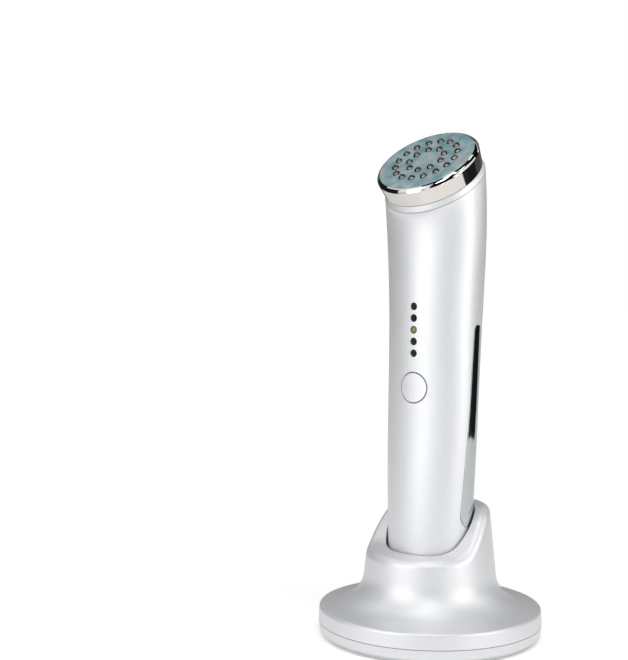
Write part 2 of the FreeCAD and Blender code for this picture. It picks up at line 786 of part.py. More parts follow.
def head_collar():
    top = doc.addObject("Part::Circle", "collar_top_edge")
    bind(top, Radius="bezel_radius")
    band_top, band_foot = "(-bezel_depth - seam_gap)", "(seam_gap - collar_depth)"
    place(top, z=band_top)
    bottom = doc.addObject("Part::Circle", "collar_bottom_edge")
    bind(bottom, Radius="collar_radius")
    place(bottom, y="-collar_drop", z=band_foot)
    band = loft("collar_band", [bottom, top])
    sleeve = cylinder("collar_sleeve", "sleeve_radius", band_foot, LED_BOARD_BOTTOM)
    spigot_foot = "-collar_depth - collar_spigot_height"
    spigot = cylinder("collar_spigot", "collar_spigot_radius", spigot_foot, band_top, y="-collar_drop")
    below, above = f"{spigot_foot} - {OVERRUN}", f"{LED_BOARD_BOTTOM} + {OVERRUN}"
    bore = cylinder("collar_hole", "collar_bore", below, above)
    holes = []
    for x, y, z in NECK_SCREW_PLACES:
        holes.append(cylinder("neck_head_seat", "small_head_radius + fit_gap", z, above, x, y))
        holes.append(cylinder("neck_hole", "small_screw_radius + screw_gap", below, z, x, y))
    for x, y, z in LED_BOARD_SCREW_PLACES:
        tip = f"{z} - led_board_screw_length - fit_gap"
        holes.append(cylinder("led_board_pilot", "small_screw_radius + screw_gap", tip, z, x, y))
    blank = fuse("collar_blank", band, sleeve, spigot)
    return on_head(cut("head_collar", blank, bore, fuse("collar_holes", *holes)))


def head_bezel():
    seat = "plate_radius + fit_gap / 2"
    lip = f"{seat} + bezel_lip_width"
    inside = "sleeve_radius + fit_gap"
    top = "bezel_lip - plate_edge_drop"
    shoulder = ("bezel_shoulder_radius", "-bezel_shoulder_depth")
    body = turned("head_bezel", [
        (seat, "-plate_thickness"),
        (seat, top),
        (lip, top),
        shoulder,
        ("crease_radius", "-crease_depth + crease_width / 2"),
        ("crease_radius - crease_cut", "-crease_depth"),
        ("crease_radius", "-crease_depth - crease_width / 2"),
        ("bezel_radius", "-bezel_depth"),
        (inside, "-bezel_depth"),
        (inside, "-plate_thickness"),
    ])
    round_rim(body, *shoulder, "bezel_shoulder_round")
    return on_head(body)


def led_places(level):
    """Places of the outer and the inner LEDs, at a level of the head's frame."""
    outer = ring_places("outer_ring_radius", OUTER_LED_COUNT, OUTER_LED_ANGLE, level)
    return outer, ring_places("inner_ring_radius", INNER_LED_COUNT, INNER_LED_ANGLE, level)


def face_plate():
    edge = "plate_radius - plate_edge_width"
    disc = turned("plate_disc", [
        ("0", "-plate_thickness"),
        ("plate_radius", "-plate_thickness"),
        ("plate_radius", "-plate_edge_drop"),
        (edge, "0"),
        ("0", "0"),
    ])
    round_rim(disc, edge, "0", "plate_edge_round")
    hole = cylinder("led_hole", "led_radius + fit_gap", f"-plate_thickness - {OVERRUN}", OVERRUN)
    outer, inner = led_places("0")
    return on_head(cut("face_plate", disc, copies("led_holes", hole, outer + inner)))


def led_rings():
    led = fuse(
        "led_master",
        cylinder("led_flange", "led_flange_radius", "0", "led_flange_height"),
        cylinder("led_body", "led_radius", "0", "led_straight"),
        sphere("led_dome", "led_radius", "led_straight"),
    )
    outer, inner = led_places(LED_BOARD_TOP)
    return [on_head(copies("outer_led_ring", led, outer)), on_head(copies("inner_led_ring", led, inner))]


def led_board():
    disc = cylinder("led_board_disc", "led_board_radius", LED_BOARD_BOTTOM, LED_BOARD_TOP)
    below = f"-board_thickness - {OVERRUN}"
    hole = cylinder("led_board_hole", "small_screw_radius + screw_gap", below, OVERRUN)
    return on_head(cut("led_board", disc, copies("led_board_holes", hole, LED_BOARD_SCREW_PLACES)))


def head_screws():
    short = screw("led_board_screw", "small", "led_board_screw_length")
    long = screw("neck_screw", "small", "neck_screw_length")
    return [
        on_head(copies("led_board_screws", short, LED_BOARD_SCREW_PLACES, "-z")),
        on_head(copies("neck_screws", long, NECK_SCREW_PLACES, "-z")),
    ]


def on_head_axis(depth):
    """The place of a point on the head's axis, at a depth below the plate's face."""
    y = f"({depth}) * sin(head_tilt) - plate_forward"
    return ("0", y, f"{PLATE_LEVEL} - ({depth}) * cos(head_tilt)")


def head_lead():
    middle = f"{BOARD_BACK} + connector_depth / 2"
    start = f"-{LED_BOARD_BOTTOM}"
    return leads("head_lead", "head_lead_radius", [
        on_head_axis(start),
        on_head_axis(f"{start} + head_lead_drop"),
        ("0", middle, f"{BOARD_TOP} + head_lead_rise"),
        ("0", middle, BOARD_TOP),
    ])


# Inside the handle: button and switch, indicators, boards, cell and leads.


def power_button():
    skin = handle("button_skin", "button_proud")
    shoulder = f"({FRONT} + button_flange_depth)"
    back = f"({shoulder} + button_flange_thickness)"
    column = cylinder("button_column", "button_radius", f"{FRONT} - {OVERRUN}", shoulder, **AT_THUMB)
    flange = cylinder("button_flange", "button_flange_radius", shoulder, back, **AT_THUMB)
    stem = cylinder("button_stem", "stem_radius", back, f"{FRONT} + plunger_depth", **AT_THUMB)
    return fuse("power_button", common("button_cap", column, skin), flange, stem)


def switch():
    face = f"({BOARD_FRONT} - switch_height)"
    half = "switch_half_width"
    tall = (f"{THUMB_LEVEL} - {half}", f"{THUMB_LEVEL} + {half}")
    case = box("switch_case", (f"-{half}", half), (face, BOARD_FRONT), tall)
    deep = (f"{face} - {OVERRUN}", f"{face} + switch_well")
    well = cylinder("switch_hole", "plunger_radius + fit_gap", *deep, **AT_THUMB)
    tip = f"({FRONT} + plunger_depth)"
    plunger = cylinder("switch_plunger", "plunger_radius", tip, f"{tip} + plunger_length", **AT_THUMB)
    return [cut("tact_switch", case, well), plunger]


def indicators():
    lamp = fuse(
        "lamp_master",
        cylinder("lamp_flange", "lamp_flange_radius", "0", "lamp_flange_height"),
        cylinder("lamp_body", "lamp_radius", "0", "lamp_straight"),
        sphere("lamp_dome", "lamp_radius", "lamp_straight"),
    )
    base = f"({LAMP_FRONT} - lamp_proud + lamp_straight + lamp_radius)"
    groups = [
        copies(node, lamp, [("0", base, lamp_level(step)) for step in steps], "-y")
        for node, steps in LAMP_NODES.items()
    ]
    half = "holder_half_width"
    ends = (f"{lamp_level(LAMP_STEPS[0])} - {half}", f"{lamp_level(LAMP_STEPS[-1])} + {half}")
    return groups + [box("indicator_holder", (f"-{half}", half), (base, BOARD_FRONT), ends)]


def main_board():
    half = "board_half_width"
    card = box("board_card", (f"-{half}", half), (BOARD_FRONT, BOARD_BACK), (BOARD_BOTTOM, BOARD_TOP))
    through = (f"-{OVERRUN}", f"board_thickness + {OVERRUN}")
    hole = cylinder("board_hole", "small_screw_radius + screw_gap", *through)
    card = cut("main_board", card, copies("board_holes", hole, BOARD_SCREW_PLACES, "-y"))
    fixing = screw("board_screw", "small", "board_screw_length")
    screws = copies("board_screws", fixing, BOARD_SCREW_PLACES, "-y")
    front = (f"{BOARD_FRONT} - chip_height", BOARD_FRONT)
    chips = []
    for chip, level in CHIP_LEVELS.items():
        across = (f"-{chip}_half_width", f"{chip}_half_width")
        foot = f"{level} + {chip}_rise"
        chips.append(box(f"{chip}_chip", across, front, (foot, f"{foot} + {chip}_length")))
    half = "connector_half_width"
    deep = (BOARD_BACK, f"{BOARD_BACK} + connector_depth")
    plug = box("head_connector", (f"-{half}", half), deep, (f"{BOARD_TOP} - connector_height", BOARD_TOP))
    return [card, screws, together("board_chips", *chips), plug]


def battery():
    cell = cylinder("battery_cell", "cell_radius", CELL_BOTTOM, CELL_TOP, y=CELL_AXIS)
    half = "pad_half_width"
    tall = (f"{CELL_BOTTOM} + pad_inset", f"{CELL_TOP} - pad_inset")
    block = box("pad_block", (f"-{half}", half), (BOARD_BACK, CELL_AXIS), tall)
    pad = cut("foam_pad", block, cylinder("pad_round", "cell_radius", CELL_BOTTOM, CELL_TOP, y=CELL_AXIS))
    above, below = f"{CELL_TOP} + cell_lead_rise", f"{CELL_BOTTOM} - cell_lead_rise"
    wires = leads(
        "battery_leads", "thin_lead_radius",
        [("0", CELL_AXIS, CELL_TOP), ("0", CELL_AXIS, above), ("0", BOARD_BACK, above)],
        [("0", CELL_AXIS, CELL_BOTTOM), ("0", CELL_AXIS, below), ("0", BOARD_BACK, below)],
    )
    return [cell, pad, wires]


def contact_leads():
    level = f"{BOARD_BOTTOM} + contact_lead_rise"
    routes = []
    for x, y, _ in CONTACT_PLACES:
        top = "foot_height + contact_shank_rise"
        routes.append([(x, y, top), (x, y, level), (x, BOARD_BACK, level)])
    return leads("contact_leads", "thin_lead_radius", *routes)


# Stand: shell with its swooping collar and socket, base, feet, board, inlet and contact pins.


def swoop_block():
    """The air above the collar: level in front, rising in a hollow and a crest to the back."""
    body = doc.addObject("PartDesign::Body", "swoop")
    run = "(swoop_back_height - swoop_front_height) / tan(swoop_slope)"
    crest = f"({run} - swoop_foot_forward)"
    sky = f"swoop_back_height + {REACH}"
    far = f"2 * {REACH}"
    sketch = outline(body, "swoop_outline", "YZ_Plane", [
        (f"-{far}", "swoop_front_height"),
        ("-swoop_foot_forward", "swoop_front_height"),
        (crest, "swoop_back_height"),
        (far, "swoop_back_height"),
        (far, sky),
        (f"-{far}", sky),
    ])
    pad = body.newObject("PartDesign::Pad", "swoop_pad")
    pad.Profile = sketch
    pad.SideType = "Symmetric"
    bind(pad, Length=f"4 * {REACH}")
    doc.recompute()
    for y, z, radius in (
        ("-swoop_foot_forward", "swoop_front_height", "swoop_hollow_radius"),
        (crest, "swoop_back_height", "swoop_crest_radius"),
    ):
        spot = Part.Vertex(0, value(y), value(z))
        names = [
            f"Edge{number}"
            for number, edge in enumerate(body.Tip.Shape.Edges, start=1)
            if edge.distToShape(spot)[0] < TOUCH
        ]
        round_edges(body, names, radius)
    return body


def stand_form(name, inset, bottom, flare):
    """The stand's turned form, inset by a skin and starting at a bottom level."""
    top = "swoop_back_height + lip_thickness"
    body = turned(name, [
        ("0", bottom),
        (f"rim_radius - {inset}", bottom),
        (f"rim_radius - rim_draft - {inset}", f"rim_height - {inset}"),
        (f"flare_foot_radius - {inset}", f"flare_foot_height - {inset}"),
        (f"collar_top_radius - {inset}", top),
        ("0", top),
    ])
    round_rim(body, f"flare_foot_radius - {inset}", f"flare_foot_height - {inset}", flare)
    return body


def neck_radius_at(level):
    """Radius of the straight part of the neck at a level."""
    low, top = value("flare_foot_height"), value("swoop_back_height + lip_thickness")
    share = (level - low) / (top - low)
    return value("flare_foot_radius") + share * value("collar_top_radius - flare_foot_radius")


def lip_edges(shape):
    """Numbers of the edges where the swoop leaves the outside of the neck."""
    found = []
    for number, edge in enumerate(shape.Edges, start=1):
        points = edge.discretize(EDGE_SAMPLES)
        on_neck = all(abs(math.hypot(p.x, p.y) - neck_radius_at(p.z)) < LIP_BAND for p in points)
        if on_neck and min(p.z for p in points) > value("swoop_front_height") - LIP_BAND:
            found.append(number)
    return found


def stand_shell():
    swoop = swoop_block()
    form = stand_form("stand_form", "0", "seam_height", FLARE)
    round_rim(form, "rim_radius - rim_draft", "rim_height", "rim_round")
    swooped = cut("stand_swooped", form, swoop)
    doc.recompute()
    lipped = doc.addObject("Part::Fillet", "stand_lipped")
    lipped.Base = swooped
    lipped.Edges = [(number, value("lip_round"), value("lip_round")) for number in lip_edges(swooped.Shape)]
    hollow = stand_form("stand_hollow", "stand_skin", f"seam_height - {OVERRUN}", f"{FLARE} + stand_skin")
    under_lip = doc.addObject("App::Link", "swoop_under_lip")
    under_lip.LinkedObject = swoop
    place(under_lip, z="-lip_thickness")
    sleeve = handle("socket_sleeve", "(socket_gap + socket_wall)", f"(foot_height - {SOCKET_UNDERSIDE})")
    posts = [
        cylinder("base_post", "base_boss_radius", "seam_height", f"seam_height + {REACH}", x, y)
        for x, y, _ in BASE_SCREW_PLACES
    ]
    posts += [
        cylinder("charge_post", "charge_boss_radius", CHARGE_BOARD_TOP, "seat_height", x, y)
        for x, y, _ in CHARGE_SCREW_PLACES
    ]
    hollow = cut("stand_cavity", hollow, under_lip, sleeve, together("stand_posts", *posts))
    holes = [handle("socket_hole", "socket_gap", "(foot_height - seat_height)")]
    for x, y, z in BASE_SCREW_PLACES:
        tip = f"{z} + base_screw_length + fit_gap"
        holes.append(cylinder("base_pilot", "main_screw_radius + screw_gap", "seam_height", tip, x, y))
    for x, y, z in CHARGE_SCREW_PLACES:
        tip = f"{z} + charge_screw_length + fit_gap"
        holes.append(cylinder("charge_pilot", "small_screw_radius + screw_gap", z, tip, x, y))
    through = (CHARGE_BOARD_TOP, f"seat_height + {OVERRUN}")
    for x, y, _ in PIN_PLACES.values():
        holes.append(cylinder("pin_hole", "barrel_radius + fit_gap", *through, x, y))
    return cut("stand_shell", lipped, hollow, fuse("stand_holes", *holes))


def stand_base():
    lip = "rim_radius - stand_skin - rim_draft - fit_gap"
    dish = turned("base_dish", [
        ("0", "foot_proud"),
        ("rim_radius - base_draft - base_edge_cut", "foot_proud"),
        ("rim_radius - base_draft", "foot_proud + base_edge_cut"),
        ("rim_radius", "seam_height - seam_gap"),
        (lip, "seam_height - seam_gap"),
        (lip, "seam_height + base_lip_height"),
        (f"{lip} - base_lip_wall", "seam_height + base_lip_height"),
        (f"{lip} - base_lip_wall", BASE_FLOOR_TOP),
        ("0", BASE_FLOOR_TOP),
    ])
    posts = [
        cylinder("base_screw_post", "base_boss_radius", FOOT_TOP, "seam_height", x, y)
        for x, y, _ in BASE_SCREW_PLACES
    ]
    holes = []
    for x, y, z in BASE_SCREW_PLACES:
        holes.append(cylinder("base_head_seat", "main_head_radius + fit_gap", "0", z, x, y))
        above = f"seam_height + {OVERRUN}"
        holes.append(cylinder("base_hole", "main_screw_radius + screw_gap", "0", above, x, y))
    for x, y, _ in FOOT_PLACES:
        holes.append(cylinder("foot_seat", "pad_foot_radius + fit_gap", "0", FOOT_TOP, x, y))
    side = "jack_half_width + fit_gap"
    deep = (f"{JACK_FACE} - jack_length - fit_gap", f"{JACK_FACE} + fit_gap")
    tall = ("jack_height - jack_half_height - fit_gap", "seam_height")
    holes.append(box("jack_pocket", (f"-({side})", side), deep, tall))
    outside = f"rim_radius + {OVERRUN}"
    holes.append(cylinder("inlet_hole", "jack_bore + inlet_gap", JACK_FACE, outside, **AT_JACK))
    return cut("stand_base", fuse("base_blank", dish, *posts), fuse("base_holes", *holes))


def stand_fittings():
    foot = cylinder("foot_master", "pad_foot_radius", "0", FOOT_TOP)
    half = "charge_board_half_width"
    thick = ("charge_board_height", CHARGE_BOARD_TOP)
    card = box("charge_card", (f"-{half}", half), ("-charge_board_front", JACK_FACE), thick)
    through = (f"-{OVERRUN}", f"board_thickness + {OVERRUN}")
    hole = cylinder("charge_hole", "small_screw_radius + screw_gap", *through)
    case = box(
        "jack_case", ("-jack_half_width", "jack_half_width"), (f"{JACK_FACE} - jack_length", JACK_FACE),
        ("jack_height - jack_half_height", "charge_board_height"),
    )
    end = f"({JACK_FACE} - jack_bore_depth)"
    bore = cylinder("jack_hole", "jack_bore", end, f"{JACK_FACE} + {OVERRUN}", **AT_JACK)
    short = screw("charge_screw", "small", "charge_screw_length")
    return [
        copies("rubber_feet", foot, FOOT_PLACES),
        copies("base_screws", screw("base_screw", "main", "base_screw_length"), BASE_SCREW_PLACES),
        cut("charge_board", card, copies("charge_holes", hole, CHARGE_SCREW_PLACES)),
        copies("charge_board_screws", short, CHARGE_SCREW_PLACES),
        cut("power_jack", case, bore),
        cylinder("jack_pin", "jack_pin_radius", end, f"{end} + jack_pin_length", **AT_JACK),
    ]


def contact_pins():
    """Barrels on the charging board, and in each a plunger pushed up by its spring."""
    floor = f"({CHARGE_BOARD_TOP} + barrel_base)"
    crimp = f"({BARREL_TOP} - pin_crimp)"
    shoulder = f"({crimp} - pin_rise)"
    foot = f"({shoulder} - pin_body_length)"
    barrel = cut(
        "barrel_master",
        cylinder("barrel_case", "barrel_radius", CHARGE_BOARD_TOP, BARREL_TOP),
        cylinder("barrel_bore", "pin_radius + pin_gap", floor, crimp),
        cylinder("barrel_mouth", "pin_tip_radius + pin_gap", floor, f"{BARREL_TOP} + {OVERRUN}"),
    )
    nodes = [copies("pin_barrels", barrel, [(x, y, "0") for x, y, _ in PIN_PLACES.values()])]
    dome = "(seat_height + pin_reach - pin_tip_radius)"
    for side, (x, y, _) in PIN_PLACES.items():
        tip = place(sphere(f"pin_dome_{side}", "pin_tip_radius", "0"), x, y, dome)
        nodes.append(fuse(
            f"contact_pin_{side}",
            cylinder("pin_body", "pin_radius", foot, shoulder, x, y),
            cylinder("pin_tip", "pin_tip_radius", foot, dome, x, y),
            tip,
        ))
        nodes.append(cut(
            f"pin_spring_{side}",
            cylinder("spring_outside", "pin_radius", floor, foot, x, y),
            cylinder("spring_inside", "pin_radius - spring_wall", floor, foot, x, y),
        ))
    return nodes


def check(nodes):
    """Stop if any object failed or any piece is empty or faulty."""
    for item in doc.Objects:
        if {"Invalid", "Error"} & set(item.State):
            raise RuntimeError(f"{item.Label} failed: {item.State}")
    for node in nodes:
        if node.Shape.isNull() or not node.Shape.isValid() or not node.Shape.Solids:
            raise RuntimeError(f"{node.Label} has no sound solid")


def main():
    nodes = [front_shell(), rear_shell(), *side_trims(), end_cap(), charge_pads(), end_cap_screws()]
    nodes += [head_collar(), head_bezel(), face_plate(), *led_rings(), led_board()]
    nodes += [*head_screws(), head_lead()]
    nodes += [power_button(), *switch(), *indicators(), *main_board(), *battery(), contact_leads()]
    nodes += [stand_shell(), stand_base(), *stand_fittings(), *contact_pins()]
    doc.recompute()
    check(nodes)
    os.makedirs("parts", exist_ok=True)
    for node in nodes:
        node.Shape.exportStep(f"parts/{node.Label}.step")
        print(f"{node.Label}: {len(node.Shape.Solids)} solids, {node.Shape.Volume:.1f} mm3")


main()
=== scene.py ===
"""Looks of an infrared facial handset on its charging stand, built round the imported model."""

import json
import math

import bmesh
import bpy
from bpy.props import FloatProperty, FloatVectorProperty, IntProperty, PointerProperty
from mathutils import Matrix, Vector

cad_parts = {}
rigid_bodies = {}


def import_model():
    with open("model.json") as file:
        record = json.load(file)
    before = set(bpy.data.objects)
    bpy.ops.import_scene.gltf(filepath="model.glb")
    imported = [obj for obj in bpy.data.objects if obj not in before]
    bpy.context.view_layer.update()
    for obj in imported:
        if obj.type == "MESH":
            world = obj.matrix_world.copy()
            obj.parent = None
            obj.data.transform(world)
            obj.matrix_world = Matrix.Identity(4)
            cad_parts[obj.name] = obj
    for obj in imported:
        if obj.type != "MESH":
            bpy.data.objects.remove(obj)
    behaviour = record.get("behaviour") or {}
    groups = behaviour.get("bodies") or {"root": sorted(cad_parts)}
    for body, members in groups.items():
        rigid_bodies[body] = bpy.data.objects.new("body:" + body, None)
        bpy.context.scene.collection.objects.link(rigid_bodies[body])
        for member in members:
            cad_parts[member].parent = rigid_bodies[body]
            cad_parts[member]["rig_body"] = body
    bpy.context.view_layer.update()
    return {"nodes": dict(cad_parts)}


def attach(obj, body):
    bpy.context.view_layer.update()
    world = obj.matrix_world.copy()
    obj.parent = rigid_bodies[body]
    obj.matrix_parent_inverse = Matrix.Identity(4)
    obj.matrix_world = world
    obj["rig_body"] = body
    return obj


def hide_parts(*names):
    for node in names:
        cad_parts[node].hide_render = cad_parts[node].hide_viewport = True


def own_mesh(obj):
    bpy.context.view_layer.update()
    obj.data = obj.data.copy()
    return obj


bl_info = {
    "name": "Infrared Facial Handset",
    "version": (1, 0, 0),
    "blender": (4, 5, 0),
    "location": "3D View > Sidebar > Handset",
    "description": "Finishes, small parts and studio for a light therapy handset on its stand",
    "category": "Object",
}

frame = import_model()
NODES = frame["nodes"]
MM = 0.001
UP = Vector((0, 0, 1))
FORWARD = Vector((0, -1, 0))
# Vertices of a loaded mesh closer than this are one vertex.
WELD = 1e-7
# Edges that turn by more than this stay sharp.
SHARP = math.radians(35)


def plate_normal():
    """Which way the face plate looks, from its largest facet."""
    facets = NODES["face_plate"].data.polygons
    return max((f for f in facets if f.normal.z > 0), key=lambda f: f.area).normal.normalized()


HEAD_AXIS = plate_normal()


# Colours, nodes and measures


def linear(code):
    """Linear RGBA of an sRGB hex value."""
    channels = [int(code[at:at + 2], 16) / 255 for at in (1, 3, 5)]
    return (*(c / 12.92 if c <= 0.04045 else ((c + 0.055) / 1.055) ** 2.4 for c in channels), 1.0)


def per(size):
    """Texture scale that repeats a pattern about every given number of millimetres."""
    return 1 / (size * MM)


def add(tree, kind, inputs=None, **settings):
    """Add a node, set its properties and fill its sockets; a node given as a value is its first output."""
    node = tree.nodes.new(kind)
    for name, value in settings.items():
        setattr(node, name, value)
    for key, value in (inputs or {}).items():
        source = value.outputs[0] if isinstance(value, bpy.types.Node) else value
        if isinstance(source, bpy.types.NodeSocket):
            tree.links.new(source, node.inputs[key])
        else:
            node.inputs[key].default_value = source
    return node


def solids(node, axis):
    """Foot on the axis, length and radius of each separate solid of a node."""
    turn = axis.rotation_difference(UP).to_matrix()
    mesh = bmesh.new()
    mesh.from_mesh(NODES[node].data)
    bmesh.ops.remove_doubles(mesh, verts=mesh.verts, dist=WELD)
    found = []
    for first in mesh.verts:
        if first.tag:
            continue
        first.tag = True
        group = [first]
        for vert in group:
            fresh = [e.other_vert(vert) for e in vert.link_edges if not e.other_vert(vert).tag]
            for other in fresh:
                other.tag = True
            group.extend(fresh)
        points = [turn @ vert.co for vert in group]
        low = Vector(map(min, zip(*points)))
        high = Vector(map(max, zip(*points)))
        middle = (low + high) / 2
        foot = turn.inverted() @ Vector((middle.x, middle.y, low.z))
        found.append((foot, high.z - low.z, (high.x - low.x) / 2))
    mesh.free()
    return found


# Finishes


def begin(name):
    """A new material with its tree, its shader and its Object coordinates."""
    material = bpy.data.materials.new(name)
    material.use_nodes = True
    tree = material.node_tree
    return material, tree, tree.nodes["Principled BSDF"], add(tree, "ShaderNodeTexCoord").outputs["Object"]


def fill(shader, **values):
    """Set constants on a shader's own sockets; words in names are joined by underscores."""
    for name, value in values.items():
        shader.inputs[name.replace("_", " ").title().replace("Ior", "IOR")].default_value = value


def grain(tree, shader, place, dark, light, size, roughness, depth):
    """Two tones, a roughness range and a relief that follow one noise; size and depth in millimetres."""
    noise = add(tree, "ShaderNodeTexNoise", {"Vector": place, "Scale": per(size), "Detail": 3.0})
    tone = add(tree, "ShaderNodeMix", {0: noise, 6: linear(dark), 7: linear(light)}, data_type="RGBA")
    rough = add(
        tree, "ShaderNodeMapRange", {"Value": noise, "To Min": roughness[0], "To Max": roughness[1]}
    )
    bump = add(tree, "ShaderNodeBump", {"Height": noise, "Distance": depth * MM, "Strength": 0.5})
    tree.links.new(tone.outputs[2], shader.inputs["Base Color"])
    tree.links.new(rough.outputs[0], shader.inputs["Roughness"])
    tree.links.new(bump.outputs[0], shader.inputs["Normal"])


def moulded(name, dark, light, size=0.6, roughness=(0.4, 0.55), depth=0.01, **constants):
    """A moulded, plated or dipped finish that differs from others by numbers alone."""
    material, tree, shader, place = begin(name)
    grain(tree, shader, place, dark, light, size, roughness, depth)
    fill(shader, **constants)
    return material


def silver_lacquer(finish):
    """Aluminium-flake lacquer on moulded ABS: wide soft bands of light, fine sparkle, slight orange peel."""
    material, tree, shader, place = begin("silver_flake_lacquer")
    # Real flakes are some 0.05 mm across; they are drawn at 0.35 mm so that they show.
    flakes = add(tree, "ShaderNodeTexVoronoi", {"Vector": place, "Scale": per(0.35)})
    sparkle = add(tree, "ShaderNodeSeparateColor", {"Color": flakes.outputs["Color"]})
    tone = add(
        tree, "ShaderNodeMix", {0: sparkle, 6: finish.lacquer_dark, 7: finish.lacquer_light},
        data_type="RGBA",
    )
    cloud = add(tree, "ShaderNodeTexNoise", {"Vector": place, "Scale": per(9), "Detail": 3.0})
    rough = add(tree, "ShaderNodeMapRange", {"Value": cloud, "To Min": 0.42, "To Max": 0.5})
    peel = add(tree, "ShaderNodeTexNoise", {"Vector": place, "Scale": per(1.4), "Detail": 1.0})
    bump = add(tree, "ShaderNodeBump", {"Height": peel, "Distance": 0.001 * MM, "Strength": 0.3})
    tree.links.new(tone.outputs[2], shader.inputs["Base Color"])
    tree.links.new(rough.outputs[0], shader.inputs["Roughness"])
    tree.links.new(bump.outputs[0], shader.inputs["Normal"])
    fill(shader, metallic=0.5, coat_weight=0.12, coat_roughness=0.2)
    return material


def chrome_plate(name, dark, light):
    """Bright chrome on ABS: a clear mirror with faint handling smudges."""
    return moulded(name, dark, light, size=6, roughness=(0.03, 0.08), depth=0, metallic=1.0)


def treatment_plate(finish):
    """Blue-grey anodised aluminium, rubbed by use: clouded blotches and a satin sheen."""
    material, tree, shader, place = begin("blue_grey_anodised_plate")
    cloud = add(tree, "ShaderNodeTexNoise", {"Vector": place, "Scale": per(5), "Detail": 4.0})
    spread = add(tree, "ShaderNodeMapRange", {"Value": cloud, "From Min": 0.35, "From Max": 0.65})
    tone = add(
        tree, "ShaderNodeMix", {0: spread, 6: finish.plate_deep, 7: finish.plate_pale}, data_type="RGBA"
    )
    blush = add(
        tree, "ShaderNodeTexNoise", {"Vector": place, "Scale": per(8), "Detail": 2.0, "Distortion": 0.6}
    )
    share = add(
        tree, "ShaderNodeMapRange", {"Value": blush, "From Min": 0.52, "From Max": 0.75, "To Max": 0.6}
    )
    base = add(
        tree, "ShaderNodeMix", {0: share, 6: tone.outputs[2], 7: finish.plate_blush}, data_type="RGBA"
    )
    satin = add(tree, "ShaderNodeMapRange", {"Value": cloud, "To Min": 0.35, "To Max": 0.5})
    tree.links.new(base.outputs[2], shader.inputs["Base Color"])
    tree.links.new(satin.outputs[0], shader.inputs["Roughness"])
    fill(shader, metallic=0.2)
    return material


def cast_epoxy(name, rim, middle, **constants):
    """Cast epoxy of a domed LED, glossy, with one tone at its rim and another in its middle, which paint
    light and shade onto the dome.
    """
    material, tree, shader, _ = begin(name)
    crown = add(tree, "ShaderNodeAttribute", attribute_name="crown").outputs["Fac"]
    tone = add(tree, "ShaderNodeMix", {0: crown, 6: rim, 7: middle}, data_type="RGBA")
    tree.links.new(tone.outputs[2], shader.inputs["Base Color"])
    fill(shader, ior=1.54, **constants)
    return material


def clear_epoxy():
    """Water-clear cast epoxy: a bright lens, with painted shade that darkens it towards its rim."""
    return cast_epoxy(
        "clear_cast_epoxy", linear("#343d40"), linear("#ffffff"),
        roughness=0.03, transmission_weight=1.0, coat_weight=0.8, coat_roughness=0.02,
    )


def tinted_epoxy(name, rim, middle):
    """Tinted cast epoxy of an unlit indicator: a deep gloss over its tint, with painted reflection and shade
    that change from rim to middle.
    """
    return cast_epoxy(name, rim, middle, roughness=0.04, specular_ior_level=0.15)


def circuit_board():
    """Glass-epoxy laminate under green solder mask: paler copper tracks in straight lanes."""
    material, tree, shader, place = begin("solder_mask_laminate")
    lanes = add(
        tree, "ShaderNodeTexBrick",
        {
            "Vector": place, "Scale": per(4), "Mortar Size": 0.06,
            "Color1": linear("#0f4a2c"), "Color2": linear("#11512f"), "Mortar": linear("#2c7a4a"),
        },
    )
    tree.links.new(lanes.outputs["Color"], shader.inputs["Base Color"])
    fill(shader, roughness=0.35, coat_weight=0.3)
    return material


# Small parts that repeat


def new_tree(name, sockets):
    """A geometry tree with named inputs, the outputs of its group input, and the socket for its result."""
    tree = bpy.data.node_groups.new(name, "GeometryNodeTree")
    for label, kind, default in sockets:
        socket = tree.interface.new_socket(label, in_out="INPUT", socket_type=kind)
        if default is not None:
            socket.default_value = default
    tree.interface.new_socket("Geometry", in_out="OUTPUT", socket_type="NodeSocketGeometry")
    return tree, add(tree, "NodeGroupInput").outputs, add(tree, "NodeGroupOutput").inputs["Geometry"]


# Inputs of a turned form; their defaults make a 3 mm LED.
TURNED_SIZES = [
    ("Radius", "NodeSocketFloat", 1.5 * MM),
    ("Stem Length", "NodeSocketFloat", 4 * MM),
    ("Crown Height", "NodeSocketFloat", 1.5 * MM),
    ("Crown Roundness", "NodeSocketFloat", 1.0),
    ("Flange Radius", "NodeSocketFloat", 1.9 * MM),
    ("Flange Height", "NodeSocketFloat", 1 * MM),
    ("Rings", "NodeSocketInt", 9),
    ("Sides", "NodeSocketInt", 24),
]
# A turned profile starts with the foot and the top of its flange and the foot of its stem.
PROFILE_LEAD = 3
FLANGE_BEVEL = 0.05 * MM
# The last ring of a crown is all but a point, and closes within this distance.
CROWN_WELD = 0.002 * MM


